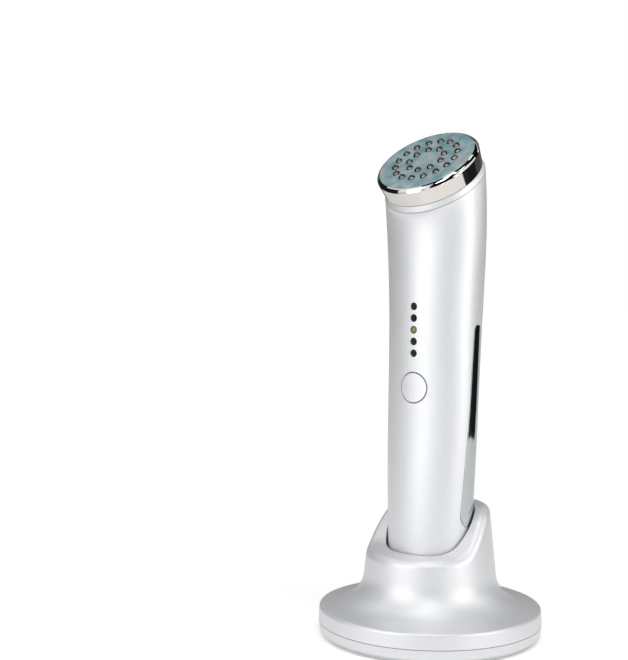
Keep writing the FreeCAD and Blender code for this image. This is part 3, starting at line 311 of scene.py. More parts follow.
def turned_form():
    """Tree of a form turned about Z: a flange, a stem up to level zero, and a crown above it."""
    tree, given, result = new_tree("turned_form", TURNED_SIZES)
    count = add(tree, "ShaderNodeMath", {0: given["Rings"], 1: PROFILE_LEAD + 1}, operation="ADD")
    line = add(tree, "GeometryNodeCurvePrimitiveLine", {"End": UP * MM})
    rail = add(tree, "GeometryNodeResampleCurve", {"Curve": line, "Count": count})
    # A point's index says where it lies: 0 and 1 on the flange, 2 at the stem's foot, the rest on the crown.
    index = add(tree, "GeometryNodeInputIndex")
    past_foot = add(tree, "ShaderNodeMath", {0: index, 1: 0.5}, operation="GREATER_THAN")
    on_flange = add(tree, "ShaderNodeMath", {0: index, 1: 1.5}, operation="LESS_THAN")
    past_flange = add(tree, "ShaderNodeMath", {0: index, 1: 1.5}, operation="GREATER_THAN")
    below_crown = add(tree, "ShaderNodeMath", {0: index, 1: 2.5}, operation="LESS_THAN")
    past_lead = add(tree, "ShaderNodeMath", {0: index, 1: PROFILE_LEAD}, operation="SUBTRACT")
    step = add(tree, "ShaderNodeMath", {0: past_lead, 1: 0}, operation="MAXIMUM")
    share = add(tree, "ShaderNodeMath", {0: step, 1: given["Rings"]}, operation="DIVIDE")
    sweep = add(tree, "ShaderNodeMath", {0: share, 1: math.pi / 2}, operation="MULTIPLY")
    rise = add(tree, "ShaderNodeMath", {0: sweep}, operation="SINE")
    draw = add(tree, "ShaderNodeMath", {0: sweep}, operation="COSINE", use_clamp=True)
    # Height of each point: the crown swells above level zero, and what comes before it lies below.
    swell = add(tree, "ShaderNodeMath", {0: rise, 1: given["Crown Roundness"]}, operation="POWER")
    crown = add(tree, "ShaderNodeMath", {0: swell, 1: given["Crown Height"]}, operation="MULTIPLY")
    bevel = add(tree, "ShaderNodeMath", {0: past_flange, 1: FLANGE_BEVEL}, operation="MULTIPLY")
    flange_top = add(tree, "ShaderNodeMath", {0: given["Flange Height"], 1: bevel}, operation="ADD")
    lift = add(tree, "ShaderNodeMath", {0: past_foot, 1: flange_top}, operation="MULTIPLY")
    low = add(tree, "ShaderNodeMath", {0: lift, 1: given["Stem Length"]}, operation="SUBTRACT")
    stem = add(tree, "ShaderNodeMath", {0: below_crown, 1: low}, operation="MULTIPLY")
    level = add(tree, "ShaderNodeMath", {0: crown, 1: stem}, operation="ADD")
    # Radius at each point: the crown narrows to its top, and the flange has a brim.
    narrowing = add(tree, "ShaderNodeMath", {0: draw, 1: given["Crown Roundness"]}, operation="POWER")
    body = add(tree, "ShaderNodeMath", {0: narrowing, 1: given["Radius"]}, operation="MULTIPLY")
    brim = add(tree, "ShaderNodeMath", {0: given["Flange Radius"], 1: given["Radius"]}, operation="SUBTRACT")
    extra = add(tree, "ShaderNodeMath", {0: on_flange, 1: brim}, operation="MULTIPLY")
    width = add(tree, "ShaderNodeMath", {0: body, 1: extra}, operation="ADD")
    spot = add(tree, "ShaderNodeCombineXYZ", {"Z": level})
    placed = add(tree, "GeometryNodeSetPosition", {"Geometry": rail, "Position": spot})
    # The crown share is kept on the points; the epoxy reads it to paint light and shade from each dome's rim
    # to its middle.
    marked = add(
        tree, "GeometryNodeStoreNamedAttribute", {"Geometry": placed, "Name": "crown", "Value": rise},
        data_type="FLOAT", domain="POINT",
    )
    ring = add(tree, "GeometryNodeCurvePrimitiveCircle", {"Resolution": given["Sides"], "Radius": 1.0})
    skin = add(
        tree, "GeometryNodeCurveToMesh",
        {"Curve": marked, "Profile Curve": ring, "Scale": width, "Fill Caps": True},
    )
    closed = add(tree, "GeometryNodeMergeByDistance", {"Geometry": skin, "Distance": CROWN_WELD})
    tree.links.new(closed.outputs[0], result)


# Inputs that every tree of seated pieces takes before its own.
SEATING = [
    ("Points", "NodeSocketGeometry", None),
    ("Axis", "NodeSocketVector", UP),
    ("Random Turn", "NodeSocketFloat", 0.0),
    ("Seed", "NodeSocketInt", 3),
    ("Material", "NodeSocketMaterial", None),
]


def seat_on_points(tree, given, form, result):
    """Finish a tree: stand a form on each point along the axis, make it real and give it its material."""
    spin = add(
        tree, "FunctionNodeRandomValue",
        # The node has a pair of limits for each kind of number; the fourth input is the float's upper one.
        {3: given["Random Turn"], "Seed": given["Seed"]}, data_type="FLOAT",
    )
    turn = add(tree, "FunctionNodeAxisAngleToRotation", {"Axis": UP, "Angle": spin.outputs[1]})
    aim = add(tree, "FunctionNodeAlignRotationToVector", {"Vector": given["Axis"]}, axis="Z")
    both = add(tree, "FunctionNodeRotateRotation", {0: aim, 1: turn}, rotation_space="LOCAL")
    placed = add(
        tree, "GeometryNodeInstanceOnPoints",
        {"Points": given["Points"], "Instance": form, "Rotation": both},
    )
    real = add(tree, "GeometryNodeRealizeInstances", {"Geometry": placed})
    whole = add(tree, "GeometryNodeSetMaterial", {"Geometry": real, "Material": given["Material"]})
    tree.links.new(whole.outputs[0], result)


def turned_pieces():
    """Tree that seats one turned form on every point."""
    tree, given, result = new_tree("turned_pieces", SEATING + TURNED_SIZES)
    sizes = {name: given[name] for name, _, _ in TURNED_SIZES}
    form = add(tree, "GeometryNodeGroup", sizes, node_tree=bpy.data.node_groups["turned_form"])
    smooth = add(tree, "GeometryNodeSetShadeSmooth", {"Geometry": form})
    seat_on_points(tree, given, smooth, result)


SCREW_SIZES = [
    ("Head Radius", "NodeSocketFloat", 2.1 * MM),
    ("Head Height", "NodeSocketFloat", 1.4 * MM),
    ("Shank Radius", "NodeSocketFloat", 1.1 * MM),
    ("Shank Length", "NodeSocketFloat", 7 * MM),
    ("Recess Reach", "NodeSocketFloat", 1.3 * MM),
    ("Recess Width", "NodeSocketFloat", 0.5 * MM),
    ("Recess Depth", "NodeSocketFloat", 0.75 * MM),
]
# A pan head: its straight side and its crown over its height, and how round the crown is.
HEAD_SIDE = 0.45
HEAD_CROWN = 0.54
HEAD_ROUNDNESS = 0.6
SHANK_SIDES = 16


def cross_screws():
    """Tree that seats a pan-head screw with a cross recess on every point."""
    tree, given, result = new_tree("cross_screws", SEATING + SCREW_SIZES)
    side = add(tree, "ShaderNodeMath", {0: given["Head Height"], 1: HEAD_SIDE}, operation="MULTIPLY")
    crown = add(tree, "ShaderNodeMath", {0: given["Head Height"], 1: HEAD_CROWN}, operation="MULTIPLY")
    blank = add(
        tree, "GeometryNodeGroup",
        {
            "Radius": given["Head Radius"], "Stem Length": side, "Crown Height": crown,
            "Crown Roundness": HEAD_ROUNDNESS, "Flange Radius": given["Head Radius"],
            "Flange Height": 0.1 * MM,
        },
        node_tree=bpy.data.node_groups["turned_form"],
    )
    # The recess is cut by two crossed bars about the top of the head, so half of each bar cuts.
    long = add(tree, "ShaderNodeMath", {0: given["Recess Reach"], 1: 2}, operation="MULTIPLY")
    deep = add(tree, "ShaderNodeMath", {0: given["Recess Depth"], 1: 2}, operation="MULTIPLY")
    top = add(tree, "ShaderNodeCombineXYZ", {"Z": crown})
    cutter = add(tree, "GeometryNodeMeshBoolean", operation="UNION")
    for across, along in ((long, given["Recess Width"]), (given["Recess Width"], long)):
        size = add(tree, "ShaderNodeCombineXYZ", {"X": across, "Y": along, "Z": deep})
        bar = add(tree, "GeometryNodeMeshCube", {"Size": size})
        lifted = add(tree, "GeometryNodeTransform", {"Geometry": bar, "Translation": top})
        tree.links.new(lifted.outputs[0], cutter.inputs[1])
    head = add(tree, "GeometryNodeMeshBoolean", {0: blank, 1: cutter}, operation="DIFFERENCE")
    shank = add(
        tree, "GeometryNodeMeshCylinder",
        {"Vertices": SHANK_SIDES, "Radius": given["Shank Radius"], "Depth": given["Shank Length"]},
    )
    half = add(tree, "ShaderNodeMath", {0: given["Shank Length"], 1: -0.5}, operation="MULTIPLY")
    drop = add(tree, "ShaderNodeMath", {0: half, 1: side}, operation="SUBTRACT")
    under = add(tree, "ShaderNodeCombineXYZ", {"Z": drop})
    hung = add(tree, "GeometryNodeTransform", {"Geometry": shank, "Translation": under})
    whole = add(tree, "GeometryNodeJoinGeometry")
    for piece in (head, hung):
        tree.links.new(piece.outputs[0], whole.inputs[0])
    seat_on_points(tree, given, whole, result)


SPRING_SIZES = [
    ("Coil Radius", "NodeSocketFloat", 0.7 * MM),
    ("Wire Radius", "NodeSocketFloat", 0.1 * MM),
    ("Height", "NodeSocketFloat", 2 * MM),
    ("Turns", "NodeSocketFloat", 5.0),
]
# Points along each turn of a spring, and facets round its wire.
SPRING_STEPS = 20
WIRE_SIDES = 10


def wound_springs():
    """Tree that stands a wound wire spring on every point."""
    tree, given, result = new_tree("wound_springs", SEATING + SPRING_SIZES)
    coil = add(
        tree, "GeometryNodeCurveSpiral",
        {
            "Resolution": SPRING_STEPS, "Rotations": given["Turns"], "Height": given["Height"],
            "Start Radius": given["Coil Radius"], "End Radius": given["Coil Radius"],
        },
    )
    ring = add(
        tree, "GeometryNodeCurvePrimitiveCircle", {"Resolution": WIRE_SIDES, "Radius": given["Wire Radius"]}
    )
    wire = add(
        tree, "GeometryNodeCurveToMesh", {"Curve": coil, "Profile Curve": ring, "Fill Caps": True}
    )
    smooth = add(tree, "GeometryNodeSetShadeSmooth", {"Geometry": wire})
    seat_on_points(tree, given, smooth, result)


def grow(name, tree, points, **values):
    """A plain mesh object grown by a tree of that name on points, with the tree's inputs set by label."""
    mesh = bpy.data.meshes.new(name)
    mesh.from_pydata(points, [], [])
    seed = bpy.data.objects.new(name, mesh)
    bpy.context.scene.collection.objects.link(seed)
    modifier = seed.modifiers.new("grow", "NODES")
    modifier.node_group = bpy.data.node_groups[tree]
    for socket in modifier.node_group.interface.items_tree:
        label = socket.name.replace(" ", "_").lower()
        if socket.in_out == "INPUT" and label in values:
            modifier[socket.identifier] = values[label]
    depsgraph = bpy.context.evaluated_depsgraph_get()
    grown = bpy.data.meshes.new_from_object(seed.evaluated_get(depsgraph))
    seed.modifiers.clear()
    seed.data = grown
    bpy.data.meshes.remove(mesh)
    if not grown.polygons:
        raise RuntimeError(f"{name} came out empty")
    grown.name = name
    grown.set_sharp_from_angle(angle=SHARP)
    return seed


def settle(piece, body, slot, *nodes):
    """Let a piece ride on its body and stand for its nodes; its slot is not used."""
    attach(piece, body)
    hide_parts(*nodes)


def paint(material, *names):
    """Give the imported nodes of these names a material."""
    for name in names:
        for slot in NODES[name].material_slots:
            slot.material = material


# Settings that a user would change


def colour(name, description, code):
    """A colour setting with an sRGB hex default."""
    return FloatVectorProperty(
        name=name, description=description, subtype="COLOR", size=4, min=0, max=1, default=linear(code)
    )


def length(name, description, millimetres):
    """A length setting with a default in millimetres."""
    return FloatProperty(
        name=name, description=description, subtype="DISTANCE", unit="LENGTH", default=millimetres * MM
    )


def angle(name, description, degrees):
    """An angle setting with a default in degrees."""
    return FloatProperty(
        name=name, description=description, subtype="ANGLE", unit="ROTATION", default=math.radians(degrees)
    )


class HandsetFinish(bpy.types.PropertyGroup):
    """Colours of the finishes that show."""

    lacquer_dark: colour("Lacquer Shade", "Darker flakes of the silver lacquer", "#dcdddf")
    lacquer_light: colour("Lacquer Light", "Brighter flakes of the silver lacquer", "#e0e1e3")
    plate_deep: colour("Plate Deep", "Deeper blotches of the face plate", "#628a8f")
    plate_pale: colour("Plate Pale", "Paler blotches of the face plate", "#98a8ad")
    plate_blush: colour("Plate Blush", "Rubbed, warmer patches of the face plate", "#a7979e")
    # The indicators' rim tones are painted light: the green and red rims a painted reflection round deep
    # middles, the yellow rim painted shade round a paler middle.
    green_rim: colour("Green Rim", "Edge of a green indicator", "#3d5a52")
    green_middle: colour("Green Middle", "Middle of a green indicator", "#080e0b")
    yellow_rim: colour("Yellow Rim", "Edge of the yellow indicator", "#45432a")
    yellow_middle: colour("Yellow Middle", "Middle of the yellow indicator", "#8b8a5c")
    red_rim: colour("Red Rim", "Edge of the red indicator", "#46202f")
    red_middle: colour("Red Middle", "Middle of the red indicator", "#1b0610")


class HandsetSizes(bpy.types.PropertyGroup):
    """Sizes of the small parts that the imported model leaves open."""

    post_radius: length("LED Post", "Radius of the metal post cast into a treatment LED", 0.45)
    post_crown: length("LED Post Crown", "Height of the rounded top of that post", 0.3)
    foot_edge: length("Foot Edge", "Height of the rounded edge of a rubber foot", 0.7)
    spring_wire: length("Spring Wire", "Half the thickness of the wire of a contact spring", 0.1)
    dome_sides: IntProperty(
        name="Dome Sides", description="Facets round an LED", default=28, min=8, max=64
    )


class HandsetStage(bpy.types.PropertyGroup):
    """Camera and studio."""

    azimuth: angle("Camera Azimuth", "Turn of the camera round the stand, from front to right", 32.965)
    distance: length("Camera Distance", "Level distance from the camera to the stand's axis", 537.326)
    height: length("Camera Height", "Height of the camera above the floor", 152.64)
    yaw: angle("Camera Yaw", "Turn of the camera's aim to the right of the axis", -5.217)
    pitch: angle("Camera Pitch", "Upward tilt of the camera's aim", -2.689)
    roll: angle("Camera Roll", "Roll of the camera to the left", 0.166)
    lens: FloatProperty(
        name="Lens", description="Focal length on a 36 mm sensor", unit="CAMERA", default=70.195
    )
    fill_light: FloatProperty(
        name="Side Fill", description="World's light on matt surfaces, level", default=0.8
    )
    top_light: FloatProperty(
        name="Top Fill", description="World's light on matt surfaces, overhead", default=0.25
    )


# Steps


class StepOperator(bpy.types.Operator):
    """One step of dressing the handset."""

    bl_options = {"REGISTER", "UNDO"}


class LacquerShells(StepOperator):
    """Spray the shells, the collar, the button and the stand with silver lacquer"""

    bl_idname = "handset.lacquer_shells"
    bl_label = "Lacquer Shells"

    def execute(self, context):
        paint(
            silver_lacquer(context.scene.handset_finish),
            "front_shell", "rear_shell", "head_collar", "end_cap", "power_button",
            "stand_shell", "stand_base",
        )
        return {"FINISHED"}


class PlateChrome(StepOperator):
    """Plate the head bezel and the two side trims with bright chrome"""

    bl_idname = "handset.plate_chrome"
    bl_label = "Plate Chrome"

    def execute(self, context):
        # The bezel's mirror is tinted warm as a painted reflection of cream surroundings; the trims' mirror
        # is cool.
        paint(chrome_plate("bright_chrome_plate", "#dcd8d3", "#e8e4df"), "head_bezel")
        paint(chrome_plate("blue_chrome_plate", "#bcc0c1", "#cacdce"), "side_trim_left", "side_trim_right")
        return {"FINISHED"}


class FinishFacePlate(StepOperator):
    """Give the face plate its clouded blue-grey"""

    bl_idname = "handset.finish_face_plate"
    bl_label = "Finish Face Plate"

    def execute(self, context):
        paint(treatment_plate(context.scene.handset_finish), "face_plate")
        return {"FINISHED"}


# Body radius over flange radius, and flange height, of common 3 mm LEDs; the indicators are made alike.
LED_BODY_SHARE = 1.5 / 1.9
LED_FLANGE_HEIGHT = 1 * MM


def domes(name, node, axis, material, sizes):
    """Domed LEDs of a node's own sizes, with the seats of their domes and the length below those seats."""
    measured = solids(node, axis)
    _, tall, flange = measured[0]
    radius = flange * LED_BODY_SHARE
    stem = tall - radius
    seats = [foot + axis * stem for foot, _, _ in measured]
    piece = grow(
        name, "turned_pieces", seats, axis=axis, radius=radius, crown_height=radius, stem_length=stem,
        flange_radius=flange, flange_height=LED_FLANGE_HEIGHT, sides=sizes.dome_sides, material=material,
    )
    return piece, seats, stem


class CastTreatmentLeds(StepOperator):
    """Cast the two rings of clear LEDs, each round a metal post"""

    bl_idname = "handset.cast_treatment_leds"
    bl_label = "Cast Treatment LEDs"

    def execute(self, context):
        sizes = context.scene.handset_sizes
        lens = clear_epoxy()
        # Tin on copper: a pale core inside the lens, made near-white and matt so that it also stands in as
        # each LED's painted glint.
        metal = moulded(
            "tinned_lead_frame", "#eceeef", "#fbfcfc", size=0.5, roughness=(0.2, 0.35), metallic=0.2
        )
        for ring in ("outer_led_ring", "inner_led_ring"):
            piece, seats, stem = domes(f"{ring}_lenses", ring, HEAD_AXIS, lens, sizes)
            settle(piece, "handset", "clear_epoxy", ring)
            # Half the post's crown stands up into the dome, and its foot stays inside the flange.
            posts = grow(
                f"{ring}_posts", "turned_pieces",
                [seat - HEAD_AXIS * sizes.post_crown / 2 for seat in seats], axis=HEAD_AXIS,
                radius=sizes.post_radius, crown_height=sizes.post_crown, crown_roundness=0.5,
                stem_length=stem - sizes.post_crown - LED_FLANGE_HEIGHT / 2,
                flange_radius=sizes.post_radius, flange_height=0.2 * MM, rings=5, sides=16, material=metal,
            )
            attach(posts, "handset")
        return {"FINISHED"}


class CastIndicators(StepOperator):
    """Cast the five small indicator LEDs in their tints"""

    bl_idname = "handset.cast_indicators"
    bl_label = "Cast Indicators"

    def execute(self, context):
        finish = context.scene.handset_finish
        for tint in ("green", "yellow", "red"):
            material = tinted_epoxy(
                f"{tint}_cast_epoxy", getattr(finish, f"{tint}_rim"), getattr(finish, f"{tint}_middle")
            )
            node = f"indicator_{tint}"
            piece, _, _ = domes(f"{node}_lens", node, FORWARD, material, context.scene.handset_sizes)
            settle(piece, "handset", f"{tint}_epoxy", node)
        return {"FINISHED"}


# Screw groups: node, the way the head looks, and head height over head radius.
SCREW_GROUPS = (
    ("base_screws", -UP, 1.4 / 2.1),
    ("end_cap_screws", -UP, 1.4 / 2.1),
    ("charge_board_screws", -UP, 1.0 / 1.5),
    ("board_screws", -FORWARD, 1.0 / 1.5),
    ("led_board_screws", HEAD_AXIS, 1.0 / 1.5),
    ("neck_screws", HEAD_AXIS, 1.0 / 1.5),
)
# Shank radius and reach of the recess over head radius, and depth of the recess over head height.
SHANK_SHARE = 0.52
RECESS_REACH = 0.6
RECESS_DEPTH = 0.5


class DriveScrews(StepOperator):
    """Drive every group of cross-recess screws"""

    bl_idname = "handset.drive_screws"
    bl_label = "Drive Screws"

    def execute(self, context):
        # Zinc on turned steel: grey metal with a mottled, half-bright shine.
        zinc = moulded(
            "zinc_plated_steel", "#8f9396", "#c3c7ca", size=0.8, roughness=(0.25, 0.45), metallic=1.0
        )
        for node, axis, share in SCREW_GROUPS:
            body = NODES[node]["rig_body"]
            # Measured against the way the head looks, a screw's foot is the top of its head.
            measured = solids(node, -axis)
            _, tall, radius = measured[0]
            head = radius * share
            piece = grow(
                f"{node}_cross", "cross_screws", [top - axis * head * HEAD_CROWN for top, _, _ in measured],
                axis=axis, random_turn=math.pi, head_radius=radius, head_height=head,
                shank_radius=radius * SHANK_SHARE, shank_length=tall - head,
                recess_reach=radius * RECESS_REACH, recess_depth=head * RECESS_DEPTH, material=zinc,
            )
            settle(piece, body, "zinc_steel", node)
        return {"FINISHED"}


class FitFeet(StepOperator):
    """Press the four rubber feet into the base"""

    bl_idname = "handset.fit_feet"
    bl_label = "Fit Feet"

    def execute(self, context):
        # Moulded rubber: dull, dark and faintly grained.
        rubber = moulded(
            "moulded_rubber", "#26282a", "#34373a", size=0.5, roughness=(0.6, 0.8), depth=0.03
        )
        edge = context.scene.handset_sizes.foot_edge
        measured = solids("rubber_feet", -UP)
        _, tall, radius = measured[0]
        piece = grow(
            "rubber_feet_rounded", "turned_pieces", [foot - UP * (tall - edge) for foot, _, _ in measured],
            axis=-UP, radius=radius, crown_height=edge, crown_roundness=0.35, stem_length=tall - edge,
            flange_radius=radius, flange_height=0.1 * MM, rings=8, sides=40, material=rubber,
        )
        settle(piece, "stand", "rubber", "rubber_feet")
        return {"FINISHED"}


class WindSprings(StepOperator):
    """Wind the springs under the two contact pins"""

    bl_idname = "handset.wind_springs"
    bl_label = "Wind Springs"

    def execute(self, context):
        # Drawn spring steel: grey wire with a soft shine.
        steel = moulded(
            "spring_steel_wire", "#7d8184", "#b3b7ba", size=0.3, roughness=(0.2, 0.4), metallic=1.0
        )
        wire = context.scene.handset_sizes.spring_wire
        for side in ("left", "right"):
            node = f"pin_spring_{side}"
            foot, tall, radius = solids(node, UP)[0]
            piece = grow(
                f"{node}_wire", "wound_springs", [foot + UP * wire], axis=UP,
                coil_radius=radius - wire, wire_radius=wire, height=tall - 2 * wire, material=steel,
            )
            settle(piece, "stand", "zinc_steel", node)
            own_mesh(piece)
        return {"FINISHED"}


class FinishWorks(StepOperator):
    """Finish the boards, the cell, the leads and the contacts inside"""

    bl_idname = "handset.finish_works"
    bl_label = "Finish Works"

    def execute(self, context):
        paint(circuit_board(), "led_board", "main_board", "charge_board")
        # Moulded nylon, black or natural: a soft sheen over a fine grain.
        paint(
            moulded("black_moulded_nylon", "#17181a", "#26282b", size=0.4, roughness=(0.4, 0.6), depth=0.02),
            "power_jack", "tact_switch", "board_chips", "indicator_holder",
        )
        paint(moulded("white_moulded_nylon", "#d9d7cf", "#e9e7e0"), "head_connector", "switch_plunger")
        # Gold plate on turned brass: warm and bright.
        paint(
            moulded(
                "gold_plated_brass", "#c79a45", "#e0b866",
                size=0.7, roughness=(0.15, 0.3), depth=0.005, metallic=1.0,
            ),
            "charge_pads", "contact_pin_left", "contact_pin_right", "pin_barrels", "jack_pin",
        )
        # Heat-shrunk film: glossy blue with shallow waves.
        paint(
            moulded("shrink_wrap_sleeve", "#1f4f86", "#2a62a0", size=3, roughness=(0.25, 0.4), depth=0.05),
            "battery_cell",
        )
        # Cut open-cell foam: dull and pitted.
        paint(
            moulded("open_cell_foam", "#3a3b3d", "#55575a", size=0.7, roughness=(0.85, 0.95), depth=0.2),
            "foam_pad",
        )
        # Extruded PVC: even red with a soft gloss.
        paint(
            moulded("extruded_pvc_sleeve", "#8e1f1c", "#a62a25", size=1.2, roughness=(0.35, 0.5)),
            "head_lead", "battery_leads", "contact_leads",
        )
        return {"FINISHED"}


# The studio stands round a point on the stand's axis. A softbox or flag has its turn from the camera and
# its height angle, in degrees, and its distance, width and height, in metres. Last comes a softbox's power,
# in watts, or a flag's colour.
SOFTBOXES = {
    "softbox_left": (-46, 10, 0.9, 0.45, 0.75, 2.1),
    "softbox_right": (58, 10, 0.9, 0.45, 0.75, 2.1),
    "softbox_front": (-4, 38, 0.95, 0.3, 0.3, 1.0),
    "softbox_left_high": (-14, 61, 0.85, 0.36, 0.36, 1.0),
    "softbox_right_high": (32, 61, 0.95, 0.36, 0.36, 1.6),
    "softbox_over": (0, 84, 0.85, 0.7, 0.4, 1.4),
}
FLAGS = {
    "flag_camera": (5, 24, 1.0, 0.78, 1.4, "#161718"),
    "flag_ceiling": (75, 84, 0.9, 1.4, 1.4, "#0c0d0d"),
    "flag_over_left": (-30, 50, 0.78, 0.34, 0.24, "#0c0d0d"),
    "flag_over_right": (52, 66, 0.8, 0.5, 0.3, "#0c0d0d"),
    "flag_left": (-109, 12, 0.9, 1.08, 0.67, "#1c1d1e"),
    "flag_right": (88, -2.2, 0.42, 0.18, 0.145, "#26292a"),
    "flag_far_right": (112, -2, 0.53, 0.26, 0.2, "#1c2021"),
    "flag_right_rear": (130, 16, 0.6, 0.34, 0.18, "#4a4845"),
    "flag_rear": (180, 20, 1.4, 3.4, 1.6, "#5b5d5f"),
}
# Height of that point above the floor.
AIM_HEIGHT = 110 * MM
# Radius of the floor in metres, and the sides of its rim.
FLOOR_RADIUS = 4.0
FLOOR_SIDES = 96
# The floor's own light rises between two distances from the axis, in metres, from the first strength to the
# second. Mirrors and glass show a share of it.
WASH_REACH = (0.1, 1.0)
WASH_STRENGTH = (0.26, 0.7)
WASH_MIRRORED = 0.3


def studio_spot(stage, turn, lift, distance):
    """Place of a softbox or flag, turned from the camera's side and facing the object."""
    heading = stage.azimuth + math.radians(turn)
    rise = math.radians(lift)
    level = Vector((math.sin(heading), -math.cos(heading), 0))
    out = level * math.cos(rise) + UP * math.sin(rise)
    facing = out.to_track_quat("Z", "Y").to_matrix().to_4x4()
    return Matrix.Translation(UP * AIM_HEIGHT + out * distance) @ facing


def rays(tree):
    """Sockets that are one for camera rays, and one for mirror and glass rays."""
    path = add(tree, "ShaderNodeLightPath").outputs
    mirrored = add(
        tree, "ShaderNodeMath", {0: path["Is Glossy Ray"], 1: path["Is Transmission Ray"]},
        operation="MAXIMUM",
    )
    return path["Is Camera Ray"], mirrored.outputs[0]


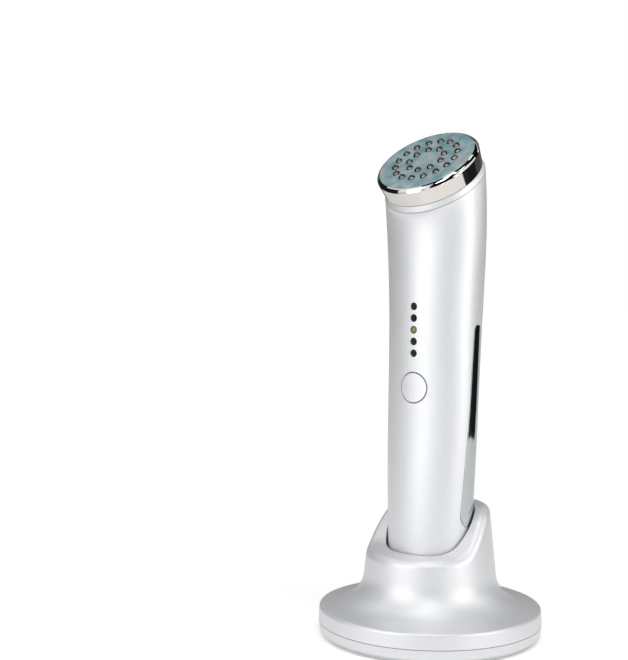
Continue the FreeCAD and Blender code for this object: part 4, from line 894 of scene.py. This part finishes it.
class SetStage(StepOperator):
    """Set the camera, the pale floor and the soft studio light"""

    bl_idname = "handset.set_stage"
    bl_label = "Set Stage"

    def execute(self, context):
        scene = context.scene
        stage = scene.handset_stage
        self.set_camera(scene, stage)
        self.set_world(scene, stage)
        self.lay_floor(scene)
        for name, (turn, lift, distance, width, tall, power) in SOFTBOXES.items():
            self.hang_softbox(scene, name, studio_spot(stage, turn, lift, distance), width, tall, power)
        for name, (turn, lift, distance, width, tall, tone) in FLAGS.items():
            self.hang_flag(scene, name, studio_spot(stage, turn, lift, distance), width, tall, tone)
        scene.view_settings.view_transform = "Standard"
        return {"FINISHED"}

    def set_camera(self, scene, stage):
        """The camera at the photograph's place, with its aim and roll."""
        camera = bpy.data.objects.new("camera", bpy.data.cameras.new("camera"))
        camera.data.lens = stage.lens
        heading = -stage.azimuth + stage.yaw
        ahead = Vector((math.sin(heading), math.cos(heading), 0))
        aim = ahead * math.cos(stage.pitch) + UP * math.sin(stage.pitch)
        level = ahead.cross(UP)
        right = level * math.cos(stage.roll) + level.cross(aim) * math.sin(stage.roll)
        turn = Matrix((right, right.cross(aim), -aim)).transposed()
        outward = Vector((math.sin(stage.azimuth), -math.cos(stage.azimuth), 0))
        spot = outward * stage.distance + UP * stage.height
        camera.matrix_world = Matrix.Translation(spot) @ turn.to_4x4()
        scene.collection.objects.link(camera)
        scene.camera = camera

    def set_world(self, scene, stage):
        """A white background, which lights matt surfaces less, and least from overhead."""
        world = bpy.data.worlds.new("studio")
        world.use_nodes = True
        tree = world.node_tree
        background = tree.nodes["Background"]
        background.inputs["Color"].default_value = linear("#ffffff")
        way = add(tree, "ShaderNodeTexCoord").outputs["Generated"]
        height = add(tree, "ShaderNodeSeparateXYZ", {0: way}).outputs["Z"]
        soft = add(
            tree, "ShaderNodeMapRange",
            {"Value": height, "To Min": stage.fill_light, "To Max": stage.top_light},
        )
        camera, mirrored = rays(tree)
        seen = add(tree, "ShaderNodeMath", {0: camera, 1: mirrored}, operation="MAXIMUM")
        level = add(tree, "ShaderNodeMapRange", {"Value": seen, "To Min": soft, "To Max": 1.0})
        tree.links.new(level.outputs[0], background.inputs["Strength"])
        scene.world = world

    def lay_floor(self, scene):
        """A matt white floor that keeps the object's shadow and fades to white away from it."""
        mesh = bpy.data.meshes.new("floor")
        form = bmesh.new()
        bmesh.ops.create_circle(form, cap_ends=True, segments=FLOOR_SIDES, radius=FLOOR_RADIUS)
        form.to_mesh(mesh)
        form.free()
        floor = bpy.data.objects.new("floor", mesh)
        scene.collection.objects.link(floor)
        material, tree, shader, place = begin("matt_white_sweep")
        grain(tree, shader, place, "#f0f0f0", "#f3f3f3", size=40, roughness=(0.9, 0.95), depth=0)
        fill(shader, specular_ior_level=0.0, emission_color=linear("#ffffff"))
        reach = add(tree, "ShaderNodeVectorMath", {0: place}, operation="LENGTH").outputs["Value"]
        wash = add(
            tree, "ShaderNodeMapRange",
            {
                "Value": reach, "From Min": WASH_REACH[0], "From Max": WASH_REACH[1],
                "To Min": WASH_STRENGTH[0], "To Max": WASH_STRENGTH[1],
            },
            interpolation_type="SMOOTHSTEP",
        )
        camera, mirrored = rays(tree)
        share = add(tree, "ShaderNodeMath", {0: mirrored, 1: WASH_MIRRORED}, operation="MULTIPLY")
        seen = add(tree, "ShaderNodeMath", {0: camera, 1: share}, operation="MAXIMUM")
        glow = add(tree, "ShaderNodeMath", {0: seen, 1: wash}, operation="MULTIPLY")
        tree.links.new(glow.outputs[0], shader.inputs["Emission Strength"])
        mesh.materials.append(material)

    def hang_softbox(self, scene, name, spot, width, tall, power):
        """A soft rectangular lamp."""
        lamp = bpy.data.lights.new(name, "AREA")
        lamp.shape = "RECTANGLE"
        lamp.size = width
        lamp.size_y = tall
        lamp.energy = power
        box = bpy.data.objects.new(name, lamp)
        box.matrix_world = spot
        scene.collection.objects.link(box)

    def hang_flag(self, scene, name, spot, width, tall, tone):
        """A plain card that only mirror and glass rays see."""
        mesh = bpy.data.meshes.new(name)
        corners = [(x * width / 2, y * tall / 2, 0) for x, y in ((-1, -1), (1, -1), (1, 1), (-1, 1))]
        mesh.from_pydata(corners, [], [(0, 1, 2, 3)])
        flag = bpy.data.objects.new(name, mesh)
        flag.matrix_world = spot
        material, _, shader, _ = begin(f"{name}_cloth")
        fill(
            shader, base_color=linear("#000000"), specular_ior_level=0.0, emission_strength=1.0,
            emission_color=linear(tone),
        )
        mesh.materials.append(material)
        scene.collection.objects.link(flag)
        flag.visible_camera = flag.visible_diffuse = flag.visible_shadow = False


SETTINGS = {"handset_finish": HandsetFinish, "handset_sizes": HandsetSizes, "handset_stage": HandsetStage}
STEPS = (
    LacquerShells, PlateChrome, FinishFacePlate, CastTreatmentLeds, CastIndicators,
    DriveScrews, FitFeet, WindSprings, FinishWorks, SetStage,
)


class HandsetPanel(bpy.types.Panel):
    """Settings and steps of the handset"""

    bl_idname = "VIEW3D_PT_handset"
    bl_label = "Infrared Facial Handset"
    bl_space_type = "VIEW_3D"
    bl_region_type = "UI"
    bl_category = "Handset"

    def draw(self, context):
        for name, kind in SETTINGS.items():
            box = self.layout.box()
            for prop in kind.__annotations__:
                box.prop(getattr(context.scene, name), prop)
        for step in STEPS:
            self.layout.operator(step.bl_idname)


def register():
    for kind in (*SETTINGS.values(), *STEPS, HandsetPanel):
        bpy.utils.register_class(kind)
    for name, kind in SETTINGS.items():
        setattr(bpy.types.Scene, name, PointerProperty(type=kind))


def unregister():
    for name in SETTINGS:
        delattr(bpy.types.Scene, name)
    for kind in (HandsetPanel, *reversed(STEPS), *reversed(SETTINGS.values())):
        bpy.utils.unregister_class(kind)


def main():
    """Build the trees and take every step in order."""
    register()
    turned_form()
    turned_pieces()
    cross_screws()
    wound_springs()
    for step in STEPS:
        family, name = step.bl_idname.split(".")
        getattr(getattr(bpy.ops, family), name)()


if __name__ == "__main__":
    main()
